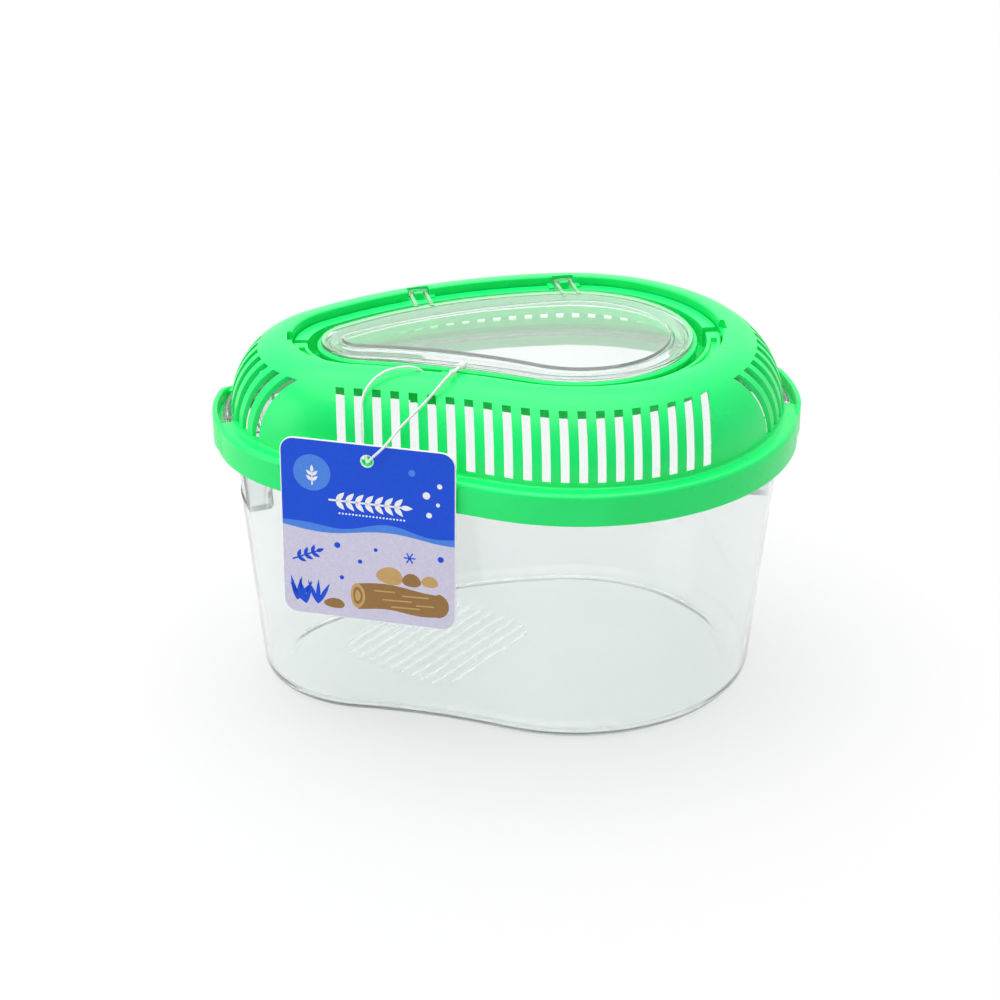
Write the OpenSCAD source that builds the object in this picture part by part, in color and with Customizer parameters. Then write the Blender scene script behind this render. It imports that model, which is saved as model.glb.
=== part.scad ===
// Plastic pet keeper: clear bean-shaped tank, green vented lid, folding
// handle strap, clear hinged hatch and a hang tag on a plastic loop.
// Z is up, the table is z = 0, the long axis is X, the front faces -Y.

/* [Outline] */
// Radius of the big end lobe
big_r = 80; // [76:0.5:84]
// Radius of the small end lobe
small_r = 55.5; // [52:0.5:58]
// Distance between the two lobe centres
lobe_gap = 72.5; // [69:0.5:76]
// Radius of the gently bowed back
back_r = 181; // [165:1:220]
// Radius of the hollow in the front
front_r = 200; // [170:1:240]

/* [Heights] */
// Full height of the keeper, lid on
height = 130; // [126:0.5:134]
// Height of the lower edge of the lid skirt
skirt_z = 91; // [89:0.5:93]
// Height of the flat ledge round the dome
ledge_z = 102.5; // [101.5:0.5:103.5]

/* [Lid] */
// Wall thickness of the lid
lid_wall = 2; // [1.6:0.1:2.2]
// Width of the flat ledge
ledge_w = 5.5; // [5.3:0.1:6]
// Distance from the outline to the crest of the dome
crest_in = 27; // [26.5:0.1:27.4]
// Depth of the ring gutter below the crest
gutter_depth = 12; // [11:0.5:13]

/* [Air slots] */
// Number of slots along the front and along the back
slot_count = 21; // [15:1:23]
// Spacing of the long-side slots
slot_pitch = 6.1; // [5.6:0.1:6.3]
// Width of every slot
slot_w = 2.9; // [2.2:0.1:3.2]
// Number of slots round the big end
big_slots = 13; // [9:1:13]
// Number of slots round the small end
small_slots = 10; // [6:1:10]
// Spacing of the end slots
end_pitch = 6.4; // [6:0.1:6.5]
// Height of the slot tops above the ledge
slot_top = 23.5; // [20:0.5:24]

/* [Tank] */
// Wall thickness of the tank
tank_wall = 1.8; // [1.5:0.1:2.2]
// Lean of the tank wall, outward per unit of height
tank_draft = 0.09; // [0.07:0.005:0.095]
// Radius of the bottom edge
foot_r = 5.5; // [4:0.5:7]
// Height of the floor of the two end pockets
pocket_z = 72; // [66:1:78]
// How far the pocket wall steps in
pocket_in = 8; // [6:0.5:9]
// Spacing of the grip ribs on the floor
rib_pitch = 3.2; // [3:0.1:4]

/* [Handle] */
// Width of the strap
strap_w = 5; // [4.6:0.1:5]
// Thickness of the strap
strap_t = 4; // [3.6:0.1:4]
// Diameter of the pivot pins
pivot_d = 3; // [2.6:0.1:3]

/* [Hatch] */
// Thickness of the hatch rim
hatch_t = 1.5; // [1.2:0.1:1.6]
// Rise of the window above the rim
window_rise = 1.4; // [1:0.1:1.5]
// Diameter of the hinge bars
bar_d = 2.4; // [2:0.1:2.4]

/* [Hang tag] */
// Width of the card
card_w = 61.5; // [50:0.5:62]
// Height of the card
card_h = 65.5; // [55:0.5:66]
// Thickness of the card
card_t = 0.6; // [0.4:0.1:0.8]
// Diameter of the loop cord
loop_d = 0.9; // [0.7:0.1:1]

/* [Hidden] */

// Plan: lobe centres on the X axis, ends at equal distances.
big_x = (lobe_gap + small_r - big_r) / 2;
small_x = big_x - lobe_gap;

// Centre of an arc touching both lobes, sum = 1 outside, -1 inside them.
function touch_x(r, sum) = let(a = r + sum * big_r, b = r + sum * small_r)
  big_x - (a * a - b * b + lobe_gap * lobe_gap) / (2 * lobe_gap);
function touch_y(r, sum) = let(a = r + sum * big_r, x = touch_x(r, sum))
  -sqrt(a * a - (x - big_x) * (x - big_x));
back_c = [touch_x(back_r, -1), touch_y(back_r, -1)];
front_c = [touch_x(front_r, 1), touch_y(front_r, 1)];

// Angles where the arcs meet.
back_a0 = atan2(-back_c[1], big_x - back_c[0]);
back_a1 = atan2(-back_c[1], small_x - back_c[0]);
front_a0 = atan2(-front_c[1], small_x - front_c[0]);
front_a1 = atan2(-front_c[1], big_x - front_c[0]);

big_n = 28;
back_n = 7;
small_n = 16;
front_n = 4;

// Points on an arc, last point left out when open is false.
function arc_pts(c, r, a0, a1, n, open = false) =
  [for (i = [0:n - (open ? 0 : 1)]) let(a = a0 + (a1 - a0) * i / n)
    [c[0] + r * cos(a), c[1] + r * sin(a)]];

// The whole outline moved out by d.
function outline(d) = concat(
  arc_pts([big_x, 0], big_r + d, front_a1 - 180, back_a0, big_n),
  arc_pts(back_c, back_r + d, back_a0, back_a1, back_n),
  arc_pts([small_x, 0], small_r + d, back_a1, front_a0 + 180, small_n),
  arc_pts(front_c, front_r - d, front_a0, front_a1, front_n));

// The front half of it, between the two handle pivots.
function front_path(d) = concat(
  arc_pts([small_x, 0], small_r + d, 180, front_a0 + 180, 10),
  arc_pts(front_c, front_r - d, front_a0, front_a1, front_n),
  arc_pts([big_x, 0], big_r + d, front_a1 - 180, 0, 16, true));

// The back half, ending a degrees short of the pivots' line.
function back_path(d, a) = concat(
  arc_pts([big_x, 0], big_r + d, a, back_a0 - 2, 11, true),
  arc_pts(back_c, back_r + d, back_a0 + 1.5, back_a1 - 1.5, 6, true),
  arc_pts([small_x, 0], small_r + d, back_a1 + 2, 178 - a, 6, true));

function flat_list(v) = [for (a = v) for (b = a) b];

// A profile of [offset, height] corners carried right round the outline.
module ring(profile) {
  n = len(outline(0));
  m = len(profile);
  pts = flat_list([for (p = profile) [for (q = outline(p[0])) [q[0], q[1], p[1]]]]);
  faces = flat_list([for (j = [0:m - 1]) [for (i = [0:n - 1])
    let(k = (j + 1) % m, l = (i + 1) % n)
    [j * n + i, k * n + i, k * n + l, j * n + l]]]);
  polyhedron(points = pts, faces = faces, convexity = 10);
}

// An upright bar between two lines of points, from height z0 to z1.
module bar(path, z0, z1) {
  n = len(path[1]);
  translate([0, 0, z0]) linear_extrude(z1 - z0)
    polygon(concat(path[0], [for (i = [1:n]) path[1][n - i]]));
}

// Points on a lobe's arc at offset d, between two angles in degrees.
function lobe_arc(x, r, d, a0, a1) = arc_pts([x, 0], r + d, a0, a1, 8, true);

// A sector turned about a lobe centre, profile in [offset, height].
module sector(x, r, a0, a1, profile) {
  translate([x, 0, 0]) rotate([0, 0, a0])
    rotate_extrude(angle = a1 - a0, $fn = 96) polygon([for (p = profile) [r + p[0], p[1]]]);
}

// Lid section.
skirt_edge = 0.6;
crest_z = height;
dome_h = height - ledge_z;
dome_w = crest_in - ledge_w;
well_in = 28;
gutter_z = height - gutter_depth;
neck_in = 37.6;
neck_top = height - 3.4;
vent_in = 24;

// Strap and its seat.
strap_out = well_in + 0.6;
strap_top = height - 3.1;
strap_bot = strap_top - strap_t;
pivot_z = strap_top - strap_t / 2;
pivot_x = big_x + big_r - strap_out;
pin_len = 3.2;
pin_gap = 0.06;
seat_gap = 0.2;

// Hatch section and hinge line.
hatch_in = 38.2;
hatch_z = neck_top + seat_gap;
lip_gap = 0.4;
lip_t = 1.4;
lip_h = 4.5;
hinge_c = [-2.75, 47.75, height - 2];
hinge_turn = 7.8;
hinge_half = 27.5;
lug_w = 7.2;
arm_w = 1.5;
arm_t = 1.4;
arm_len = 15;
bar_gap = 0.08;
knuckle_w = 3.6;

// Ears at the ends of the ledge: middle angle, half width and half slot.
ear_out = 1;
ear_h = 1.5;
ear_wall = 1.9;
big_ear = [4, 15.5, 11];
small_ear = [177, 21, 15.5];

lid_profile = concat(
  [[-skirt_edge, skirt_z], [0, skirt_z + skirt_edge], [0, ledge_z - skirt_edge],
    [-skirt_edge, ledge_z], [-ledge_w, ledge_z]],
  [for (a = [15, 30, 44, 58, 70, 80, 90]) [-crest_in + dome_w * cos(a), ledge_z + dome_h * sin(a)]],
  [[-well_in, crest_z - 0.8], [-well_in, gutter_z], [-neck_in, gutter_z], [-neck_in, neck_top],
    [-neck_in - lid_wall, neck_top], [-neck_in - lid_wall, gutter_z - lid_wall],
    [-well_in + lid_wall, gutter_z - lid_wall]],
  [for (a = [78, 58, 38, 18, 0])
    [-crest_in + (dome_w - lid_wall) * cos(a), ledge_z - lid_wall + dome_h * sin(a)]],
  [[-lid_wall, ledge_z - lid_wall], [-lid_wall, skirt_z]]);

// Inner ends of the slot cutters.
function front_y(x) = let(j1 = big_x + (big_r - vent_in) * cos(front_a1 - 180),
    j2 = small_x + (small_r - vent_in) * cos(front_a0 + 180))
  x > j1 ? -sqrt(pow(big_r - vent_in, 2) - pow(x - big_x, 2)) :
  x < j2 ? -sqrt(pow(small_r - vent_in, 2) - pow(x - small_x, 2)) :
  front_c[1] + sqrt(pow(front_r + vent_in, 2) - pow(x - front_c[0], 2));
function back_y(x) = let(j1 = back_c[0] + (back_r - vent_in) * cos(back_a0),
    j2 = back_c[0] + (back_r - vent_in) * cos(back_a1))
  x > j1 ? sqrt(pow(big_r - vent_in, 2) - pow(x - big_x, 2)) :
  x < j2 ? sqrt(pow(small_r - vent_in, 2) - pow(x - small_x, 2)) :
  back_c[1] + sqrt(pow(back_r - vent_in, 2) - pow(x - back_c[0], 2));

slot_low = 1.6;
slot_mid = 1.35;
reach = big_r + 12;

module air_slots() {
  h = slot_top - slot_low;
  z = ledge_z + slot_low;
  for (i = [0:slot_count - 1]) {
    x = slot_mid + (i - (slot_count - 1) / 2) * slot_pitch;
    translate([x - slot_w / 2, -reach, z]) cube([slot_w, reach + front_y(x), h]);
    translate([x - slot_w / 2, back_y(x), z]) cube([slot_w, reach - back_y(x), h]);
  }
  for (i = [0:big_slots - 1]) {
    y = (i - (big_slots - 1) / 2) * end_pitch;
    x = big_x + sqrt(pow(big_r - vent_in, 2) - y * y);
    translate([x, y - slot_w / 2, z]) cube([big_x + reach - x, slot_w, h]);
  }
  for (i = [0:small_slots - 1]) {
    y = (i - (small_slots - 1) / 2) * end_pitch;
    x = small_x - sqrt(pow(small_r - vent_in, 2) - y * y);
    translate([small_x - reach, y - slot_w / 2, z]) cube([reach + x - small_x, slot_w, h]);
  }
}

// Ear of the ledge, e is [middle angle, half width, half slot].
module ear(x, r, e) {
  a0 = e[0] - e[1];
  a1 = e[0] + e[1];
  bar([lobe_arc(x, r, -1, a0, a1), lobe_arc(x, r, ear_out, a0, a1)],
    skirt_z + 2 * skirt_edge, ledge_z - 1);
  bar([lobe_arc(x, r, ear_out - ear_wall, a0, a1), lobe_arc(x, r, ear_out, a0, a1)],
    ledge_z - 2, ledge_z + ear_h);
}

module ear_opening(x, r, e) {
  a0 = e[0] - e[2];
  a1 = e[0] + e[2];
  bar([lobe_arc(x, r, -ledge_w - 0.4, a0, a1), lobe_arc(x, r, ear_out - ear_wall, a0, a1)],
    ledge_z - 3, ledge_z + 4);
}

module at_hinges() {
  translate(hinge_c) rotate([0, 0, hinge_turn])
    for (s = [-1, 1]) translate([s * hinge_half, 0, 0]) children();
}

notch_h = 5;
finger_a = 71.1;

// Box across the crest at the finger notch: width, start before the crest, depth, height, level.
module finger_box(w, start, depth, h, z) {
  translate([front_c[0], front_c[1], z]) rotate([0, 0, finger_a - 90])
    translate([-w / 2, front_r + crest_in - start + 0.2, 0]) cube([w, depth, h]);
}

boss_drop = 2.4;

module lid() {
  color("#3ae57d") {
    difference() {
      union() {
        ring(lid_profile);
        bar([back_path(-strap_out - strap_w, 6), back_path(-strap_out, 6)], gutter_z - 1, strap_top);
        bar([back_path(-strap_out - 0.4, 7.3), back_path(-well_in + 0.6, 7.3)],
          gutter_z - 0.7, strap_top - 1.7);
        for (s = [-1, 1])
          translate([s > 0 ? pivot_x + 1.2 : -pivot_x - 5.4, -7, gutter_z + 1])
            cube([4.2, 14, crest_z - boss_drop - gutter_z - 1]);
        at_hinges() translate([-6, -4, 1.3 - gutter_depth]) cube([12, 8.2, gutter_depth - boss_drop + 0.7]);
        for (a = [-40, -80]) translate([big_x, 0, 0]) rotate([0, 0, a])
          translate([big_r - strap_out - 2.4, -2.5, gutter_z - 1])
            cube([4, 5, strap_bot - seat_gap - gutter_z + 1]);
        translate([small_x, 0, 0]) rotate([0, 0, 225])
          translate([small_r - strap_out - 2.4, -2.5, gutter_z - 1])
            cube([4, 5, strap_bot - seat_gap - gutter_z + 1]);
        ear(big_x, big_r, big_ear);
        ear(small_x, small_r, small_ear);
        finger_box(12, 3.6, 4, crest_z - gutter_z - boss_drop + 1.4, gutter_z - 1.4);
      }
      air_slots();
      ear_opening(big_x, big_r, big_ear);
      ear_opening(small_x, small_r, small_ear);
      finger_box(8.6, 1.6, 3.4, gutter_depth, gutter_z + 3.4);
      at_hinges() translate([-4.4, -4.6, -2]) cube([8.8, 7.4, notch_h]);
      for (s = [-1, 1]) {
        translate([s > 0 ? pivot_x - 0.6 : -pivot_x - 4.8, -5.5, crest_z - 2.8]) cube([5.4, 11, notch_h]);
        translate([s * (pivot_x - 2), 0, pivot_z]) rotate([0, s * 90, 0]) rotate([0, 0, 40])
          cylinder(r = pivot_d / 2 + pin_gap, h = pin_len + 2.3, $fn = 48);
      }
    }
    at_hinges() difference() {
      translate([-knuckle_w / 2, -2.5, -3]) cube([knuckle_w, 5.9, 3.9]);
      rotate([0, 90, 0]) cylinder(r = bar_d / 2 + bar_gap, h = 10, center = true, $fn = 48);
    }
  }
}

module handle() {
  color("#34d873") {
    difference() {
      bar([front_path(-strap_out - strap_w), front_path(-strap_out)], strap_bot, strap_top);
      translate([0, 0, strap_top]) groove();
    }
    for (s = [-1, 1]) {
      translate([s * (pivot_x - 1), 0, pivot_z]) rotate([0, s * 90, 0]) rotate([0, 0, 40])
        cylinder(d = pivot_d, h = pin_len + 1, $fn = 48);
      translate([s * (pivot_x - 0.3), 0, pivot_z]) rotate([0, -s * 90, 0]) rotate([0, 0, 40])
        cylinder(d = strap_t - 0.3, h = strap_w - 0.6, $fn = 48);
    }
  }
}

// Channel along the top of the strap, stopping short of the pivots.
module groove() {
  intersection() {
    bar([front_path(-strap_out - strap_w + 1.4), front_path(-strap_out - 1.4)], -1.4, 2);
    translate([-reach * 2, -reach * 2, -3]) cube([reach * 4, reach * 2 - 5, 6]);
  }
}

// Window outline, two lobes of its own.
win_big = [24.7, -3.4];
win_big_r = 33.3;
win_small = [-51, -2.2];
win_small_r = 8;
win_back_r = 188;
win_front_r = 161;
win_gap = norm(win_big - win_small);
win_dir = atan2(win_small[1] - win_big[1], win_small[0] - win_big[0]);

function win_c(r, sum) = let(a = r + sum * win_big_r, b = r + sum * win_small_r,
    u = (a * a - b * b + win_gap * win_gap) / (2 * win_gap), v = sqrt(a * a - u * u))
  [win_big[0] + u * cos(win_dir) - v * sin(win_dir), win_big[1] + u * sin(win_dir) + v * cos(win_dir)];
function ang(p, q) = atan2(q[1] - p[1], q[0] - p[0]);

function window(d) = let(cb = win_c(win_back_r, -1), cf = win_c(win_front_r, 1),
    b0 = ang(cb, win_big), b1 = ang(cb, win_small), f0 = ang(cf, win_small), f1 = ang(cf, win_big))
  concat(
    arc_pts(win_big, win_big_r + d, f1 - 180, b0, 24),
    arc_pts(cb, win_back_r + d, b0, b1, 7),
    arc_pts(win_small, win_small_r + d, b1, f0 + 180, 10),
    arc_pts(cf, win_front_r - d, f0, f1, 6));

module hatch() {
  color([0.86, 0.95, 0.9, 0.45]) {
    difference() {
      union() {
        translate([0, 0, hatch_z]) linear_extrude(hatch_t) polygon(outline(-hatch_in));
        translate([0, 0, hatch_z + 0.2])
          linear_extrude(hatch_t + window_rise - 0.7) polygon(window(0));
        translate([0, 0, hatch_z + hatch_t])
          linear_extrude(window_rise) polygon(window(-0.6));
      }
      translate([0, 0, hatch_z - 1]) linear_extrude(window_rise + 1) polygon(window(-1.6));
    }
    ring([[-neck_in - lid_wall - lip_gap, hatch_z - lip_h],
      [-neck_in - lid_wall - lip_gap, hatch_z + 0.5],
      [-neck_in - lid_wall - lip_gap - lip_t, hatch_z + 0.5],
      [-neck_in - lid_wall - lip_gap - lip_t, hatch_z - lip_h]]);
    at_hinges() {
      rotate([0, 90, 0]) cylinder(d = bar_d, h = lug_w, center = true, $fn = 48);
      for (s = [-1, 1]) translate([s * (lug_w - arm_w) / 2 - arm_w / 2, -arm_len, -arm_t / 2])
        cube([arm_w, arm_len, arm_t]);
    }
  }
}

// Tank section.
rim_top = ledge_z - lid_wall - seat_gap;
rim_h = 2.6;
rim_out = lid_wall + 0.4;
foot_h = 0.8;
wall_top = 6;
neck_z = 90;
function wall_at(z) = -wall_top - (neck_z - z) * tank_draft;
foot_x = wall_at(foot_r) - foot_r;

tank_profile = concat(
  [[foot_x - 3, 0], [foot_x, 0]],
  [for (a = [25, 50, 75]) [foot_x + foot_r * sin(a), foot_r - foot_r * cos(a)]],
  [[wall_at(foot_r), foot_r], [wall_at(neck_z), neck_z], [wall_at(neck_z) + 0.3, rim_top - rim_h - 1],
    [-rim_out, rim_top - rim_h], [-rim_out, rim_top], [wall_at(neck_z) - tank_wall, rim_top],
    [wall_at(neck_z) - tank_wall, neck_z], [wall_at(foot_r) - tank_wall, foot_r + 0.6],
    [foot_x + foot_r * 0.5 - 0.4, foot_h + tank_wall + 0.9], [foot_x - 1, foot_h + tank_wall],
    [foot_x - 3, foot_h + tank_wall]]);

// Angles of the end pockets: middle and half width.
big_pocket = [4, 16.5];
small_pocket = [176.5, 23];

hook_share = 0.62;

module pocket(x, r, mid, half) {
  side = tank_wall / r * 57.3;
  inner = -wall_top - pocket_in;
  tip = rim_out + 0.5;
  difference() {
    children();
    sector(x, r, mid - half, mid + half,
      [[inner - 1, pocket_z], [4, pocket_z], [4, rim_top + 3], [inner - 1, rim_top + 3]]);
  }
  sector(x, r, mid - half - side, mid + half + side,
    [[inner - tank_wall - 1.6, pocket_z - tank_wall], [wall_at(pocket_z) - 0.7, pocket_z - tank_wall],
      [wall_at(pocket_z) - 0.7, pocket_z], [inner - 1.6, pocket_z], [inner, rim_top],
      [inner - tank_wall, rim_top]]);
  for (a = [mid - half - side, mid + half])
    sector(x, r, a, a + side,
      [[inner - 1.4, pocket_z - 1], [wall_at(pocket_z) - 0.7, pocket_z - 1],
        [wall_at(neck_z) - 0.7, rim_top - 0.3], [inner - 1, rim_top - 0.3]]);
  sector(x, r, mid - half + 1.4, mid + half - 1.4,
    [[wall_at(pocket_z) - 2.5, pocket_z - 0.5], [wall_at(pocket_z) - 0.5, pocket_z - 0.5],
      [wall_at(neck_z) - 0.5, neck_z], [-tip - 1.2, rim_top - 4], [-tip - 3, rim_top - 3.6],
      [wall_at(neck_z) - 2.5, neck_z]]);
  sector(x, r, mid - half * hook_share, mid + half * hook_share,
    [[-tip - 2.9, rim_top - 4.4], [-tip - 1.1, rim_top - 4.4], [-tip, rim_top - 1.5],
      [-tip, ledge_z + 2.2], [-tip - 1, ledge_z + 3], [-tip - 1.9, ledge_z + 3], [-tip - 1.9, rim_top - 2]]);
}

rib_w = 1.2;
rib_h = 0.8;
rib_len = [22, 34, 44, 52, 58, 62, 64, 62, 58, 52, 44, 34, 22];
patch_c = [-6, -20];

module tank() {
  color([0.82, 0.9, 0.87, 0.35]) {
    pocket(small_x, small_r, small_pocket[0], small_pocket[1])
      pocket(big_x, big_r, big_pocket[0], big_pocket[1])
        union() {
          ring(tank_profile);
          translate([0, 0, foot_h]) linear_extrude(tank_wall) polygon(outline(foot_x - 2));
        }
    for (i = [0:len(rib_len) - 1])
      translate([patch_c[0], patch_c[1], foot_h + tank_wall - 0.3]) rotate([0, 0, 45])
        translate([-rib_len[i] / 2, (i - (len(rib_len) - 1) / 2) * rib_pitch - rib_w / 2, 0])
          cube([rib_len[i], rib_w, rib_h + 0.3]);
  }
}

// Card: place of its middle, turn about Z, lean back.
card_c = [-51.6, -58.6, 80.7];
card_turn = -18.6;
card_lean = -1.9;
corner_r = 5;
hole_drop = 6;
hole_d = 4.2;

function card_pts() = flat_list([for (k = [0:3])
  let(cx = (k == 0 || k == 3 ? 1 : -1) * (card_w / 2 - corner_r), cy = (k < 2 ? 1 : -1) * (card_h / 2 - corner_r))
  [for (i = [0:4]) let(a = k * 90 + i * 22.5) [cx + corner_r * cos(a), cy + corner_r * sin(a)]]]);

module hang_tag() {
  color("#2f5fd6")
    translate(card_c) rotate([0, 0, card_turn]) rotate([card_lean, 0, 0]) rotate([90, 0, 0])
      difference() {
        translate([0, 0, -card_t / 2]) linear_extrude(card_t) polygon(card_pts());
        translate([0, card_h / 2 - hole_drop, -2]) cylinder(d = hole_d, h = 4, $fn = 32);
      }
}

// Way of the loop, from the pin over the dome, through the card, back
// through the finger notch, under the strap and up into the socket.
loop_way = [[-22.5, -43.1, 131.9], [-24.6, -45.7, 130.9], [-28.2, -48.4, 127.7], [-32, -50.4, 124.3],
  [-37, -52.8, 120.2], [-41.5, -56.3, 116.9], [-45.5, -60.8, 113.9], [-49.3, -61, 110.4],
  [-51.2, -59, 107.6], [-51.6, -56.2, 107.6], [-52.4, -53.8, 111], [-53, -49.6, 118],
  [-52.2, -44.6, 124.4], [-49.2, -41, 128.6], [-44.5, -37.6, 131], [-39, -35.7, 131.7],
  [-34.6, -35.3, 131.4], [-31.3, -34.8, 129.2], [-29.6, -35.1, 125.4], [-28.3, -34, 122.3],
  [-26.3, -32, 120.4], [-23.4, -29.6, 121.2], [-21, -28.2, 124.4], [-18.4, -28.7, 128.6],
  [-16.8, -31, 131.2], [-16.6, -33.6, 132], [-17.44, -35.07, 131.9]];

// Smooth point between way points j and j + 1.
function way(j) = loop_way[max(0, min(len(loop_way) - 1, j))];
function blend_pt(j, t) = let(a = way(j - 1), b = way(j), c = way(j + 1), e = way(j + 2))
  0.5 * (2 * b + (c - a) * t + (2 * a - 5 * b + 4 * c - e) * t * t + (3 * b - a - 3 * c + e) * t * t * t);
function unit(v) = v / norm(v);

loop_pts = concat([for (j = [0:len(loop_way) - 2]) for (t = [0, 1 / 3, 2 / 3]) blend_pt(j, t)],
  [loop_way[len(loop_way) - 1]]);
loop_sides = 8;

module tag_loop() {
  n = len(loop_pts);
  m = loop_sides;
  mid = [for (k = [0:2]) [for (p = loop_pts) p[k]] * [for (p = loop_pts) 1] / n];
  pts = flat_list([for (i = [0:n - 1])
    let(t = unit(loop_pts[min(i + 1, n - 1)] - loop_pts[max(i - 1, 0)]),
      u = unit(cross(t, loop_pts[i] - mid)), v = cross(t, u))
    [for (k = [0:m - 1]) loop_pts[i] + loop_d / 2 * (cos(k * 360 / m) * u + sin(k * 360 / m) * v)]]);
  sides = flat_list([for (i = [0:n - 2]) flat_list([for (k = [0:m - 1])
    let(a = i * m + k, b = i * m + (k + 1) % m, c = (i + 1) * m + (k + 1) % m, e = (i + 1) * m + k)
    [[a, b, c], [a, c, e]]])]);
  first = [for (k = [0:m - 1]) m - 1 - k];
  last = [for (k = [0:m - 1]) (n - 1) * m + k];
  color("#e8eef2") polyhedron(points = pts, faces = concat(sides, [first, last]), convexity = 10);
}

// Lock of the loop: a short socket, the pin in it and the knob behind the pin.
lock_c = [-18.4, -36.6, 131.9];
lock_turn = 58;
socket_d = 2.6;
socket_len = 3;
lock_pin_d = 1.2;
knob_d = 2.2;
knob_at = 6.5;

module loop_lock() {
  color("#dfe8ee") translate(lock_c) rotate([0, 90, lock_turn]) {
    cylinder(d = socket_d, h = socket_len, center = true, $fn = 24);
    translate([0, 0, -knob_at]) cylinder(d = lock_pin_d, h = knob_at, $fn = 24);
    translate([0, 0, -knob_at]) sphere(d = knob_d, $fn = 24);
  }
}

tank();
lid();
handle();
hatch();
hang_tag();
tag_loop();
loop_lock();
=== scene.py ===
"""Looks of a clear plastic pet keeper with a green slotted lid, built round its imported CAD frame.

The plan is one closed line of four arcs: a big lobe, a bowed back, a small lobe and a hollow front.
Every wall of tank, lid, strap and hatch is a section carried round that line at a given offset.
Shapes are worked out in millimetres and turned to metres where their mesh is made.
"""
import math

import bmesh
import bpy
import numpy as np
from mathutils import Matrix, Vector


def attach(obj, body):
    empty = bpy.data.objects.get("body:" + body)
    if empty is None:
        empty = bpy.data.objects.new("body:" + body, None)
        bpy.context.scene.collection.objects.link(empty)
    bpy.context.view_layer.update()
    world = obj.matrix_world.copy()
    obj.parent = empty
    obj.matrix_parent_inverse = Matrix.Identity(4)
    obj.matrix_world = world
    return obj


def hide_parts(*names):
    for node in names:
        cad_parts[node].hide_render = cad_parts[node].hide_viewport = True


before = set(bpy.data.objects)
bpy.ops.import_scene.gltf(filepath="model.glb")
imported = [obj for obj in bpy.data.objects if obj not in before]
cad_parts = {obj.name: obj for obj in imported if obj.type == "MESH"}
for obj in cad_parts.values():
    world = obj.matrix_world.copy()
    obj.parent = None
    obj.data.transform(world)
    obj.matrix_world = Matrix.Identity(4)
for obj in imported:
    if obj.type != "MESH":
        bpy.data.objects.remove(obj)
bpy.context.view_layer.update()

bl_info = {
    "name": "Pet keeper looks",
    "version": (1, 0, 0),
    "blender": (4, 5, 0),
    "location": "3D View > Sidebar > Keeper",
    "description": "Builds the detailed pieces and materials of a plastic pet keeper",
    "category": "Object",
}


# Settings

def srgb(code):
    """Linear red, green and blue of an sRGB hex code."""
    c = np.array([int(code[i:i + 2], 16) for i in (1, 3, 5)]) / 255
    return tuple(np.where(c <= 0.04045, c / 12.92, ((c + 0.055) / 1.055) ** 2.4))


def length(name, text, value):
    """A length property whose default is given in millimetres."""
    return bpy.props.FloatProperty(name=name, description=text, default=value / 1000,
                                   unit="LENGTH", precision=5)


def colour(name, text, code):
    """A colour property whose default is an sRGB hex code."""
    return bpy.props.FloatVectorProperty(name=name, description=text, default=srgb(code),
                                         subtype="COLOR", size=3, min=0, max=1)


class KEEPER_PG_settings(bpy.types.PropertyGroup):
    """Sizes and colours of the keeper."""

    big_r: length("Big lobe", "Radius of the big end of the plan", 80)
    small_r: length("Small lobe", "Radius of the small end of the plan", 55.5)
    lobe_gap: length("Lobe gap", "Distance between the lobe centres", 72.5)
    back_r: length("Back bow", "Radius of the bowed back", 181)
    front_r: length("Front hollow", "Radius of the hollow front", 200)
    height: length("Height", "Full height with the lid on", 130)
    skirt_z: length("Skirt edge", "Height of the lower edge of the lid skirt", 91)
    ledge_z: length("Ledge", "Height of the flat ledge round the dome", 102.5)
    lid_wall: length("Lid wall", "Wall thickness of the lid", 2)
    tank_wall: length("Tank wall", "Wall thickness of the tank", 1.8)
    slot_w: length("Slot width", "Width of an air slot", 2.9)
    card_w: length("Card width", "Width of the hang tag", 61.5)
    card_h: length("Card height", "Height of the hang tag", 65.5)
    loop_d: length("Loop diameter", "Diameter of the nylon loop", 0.9)
    lid_green: colour("Lid green", "Pigment of the lid and handle", "#16EA75")
    clear_tint: colour("Clear tint", "Tint of the clear mouldings", "#F9FBFB")
    card_blue: colour("Card blue", "Main printed colour of the tag", "#0A4FDC")
    card_pale: colour("Card pale", "Pale printed panel of the tag", "#D3CFE6")


def mm(name):
    """A size property in millimetres."""
    return getattr(bpy.context.scene.keeper, name) * 1000


# Plan and sections

def touching(a, ra, b, rb, r, s):
    """Centre of an arc of radius r that touches two lobes, s = 1 from outside, -1 from inside."""
    pa, pb, gap = r + s * ra, r + s * rb, math.dist(a, b)
    u = (pa * pa - pb * pb + gap * gap) / (2 * gap)
    v = math.sqrt(pa * pa - u * u)
    e = ((b[0] - a[0]) / gap, (b[1] - a[1]) / gap)
    return (a[0] + u * e[0] - v * e[1], a[1] + u * e[1] + v * e[0])


def four_arcs(a, ra, b, rb, back_r, front_r):
    """The arcs of a bean plan as rows of centre x and y, radius, sign, first and last angle.
    Sign is 1 where the wall lies outside its centre and -1 on the hollow front."""
    cb, cf = touching(a, ra, b, rb, back_r, -1), touching(a, ra, b, rb, front_r, 1)

    def turn(p, q):
        """Angle of the way from p to q."""
        return math.atan2(q[1] - p[1], q[0] - p[0])

    b0, b1, f0, f1 = turn(cb, a), turn(cb, b), turn(cf, b), turn(cf, a)
    return [(*a, ra, 1, f1 - math.pi, b0), (*cb, back_r, 1, b0, b1),
            (*b, rb, 1, b1, f0 + math.pi), (*cf, front_r, -1, f0, f1)]


def lobes():
    """The two lobe centres, the ends at equal distances from the origin."""
    x = (mm("lobe_gap") + mm("small_r") - mm("big_r")) / 2
    return (x, 0.0), (x - mm("lobe_gap"), 0.0)


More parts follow.
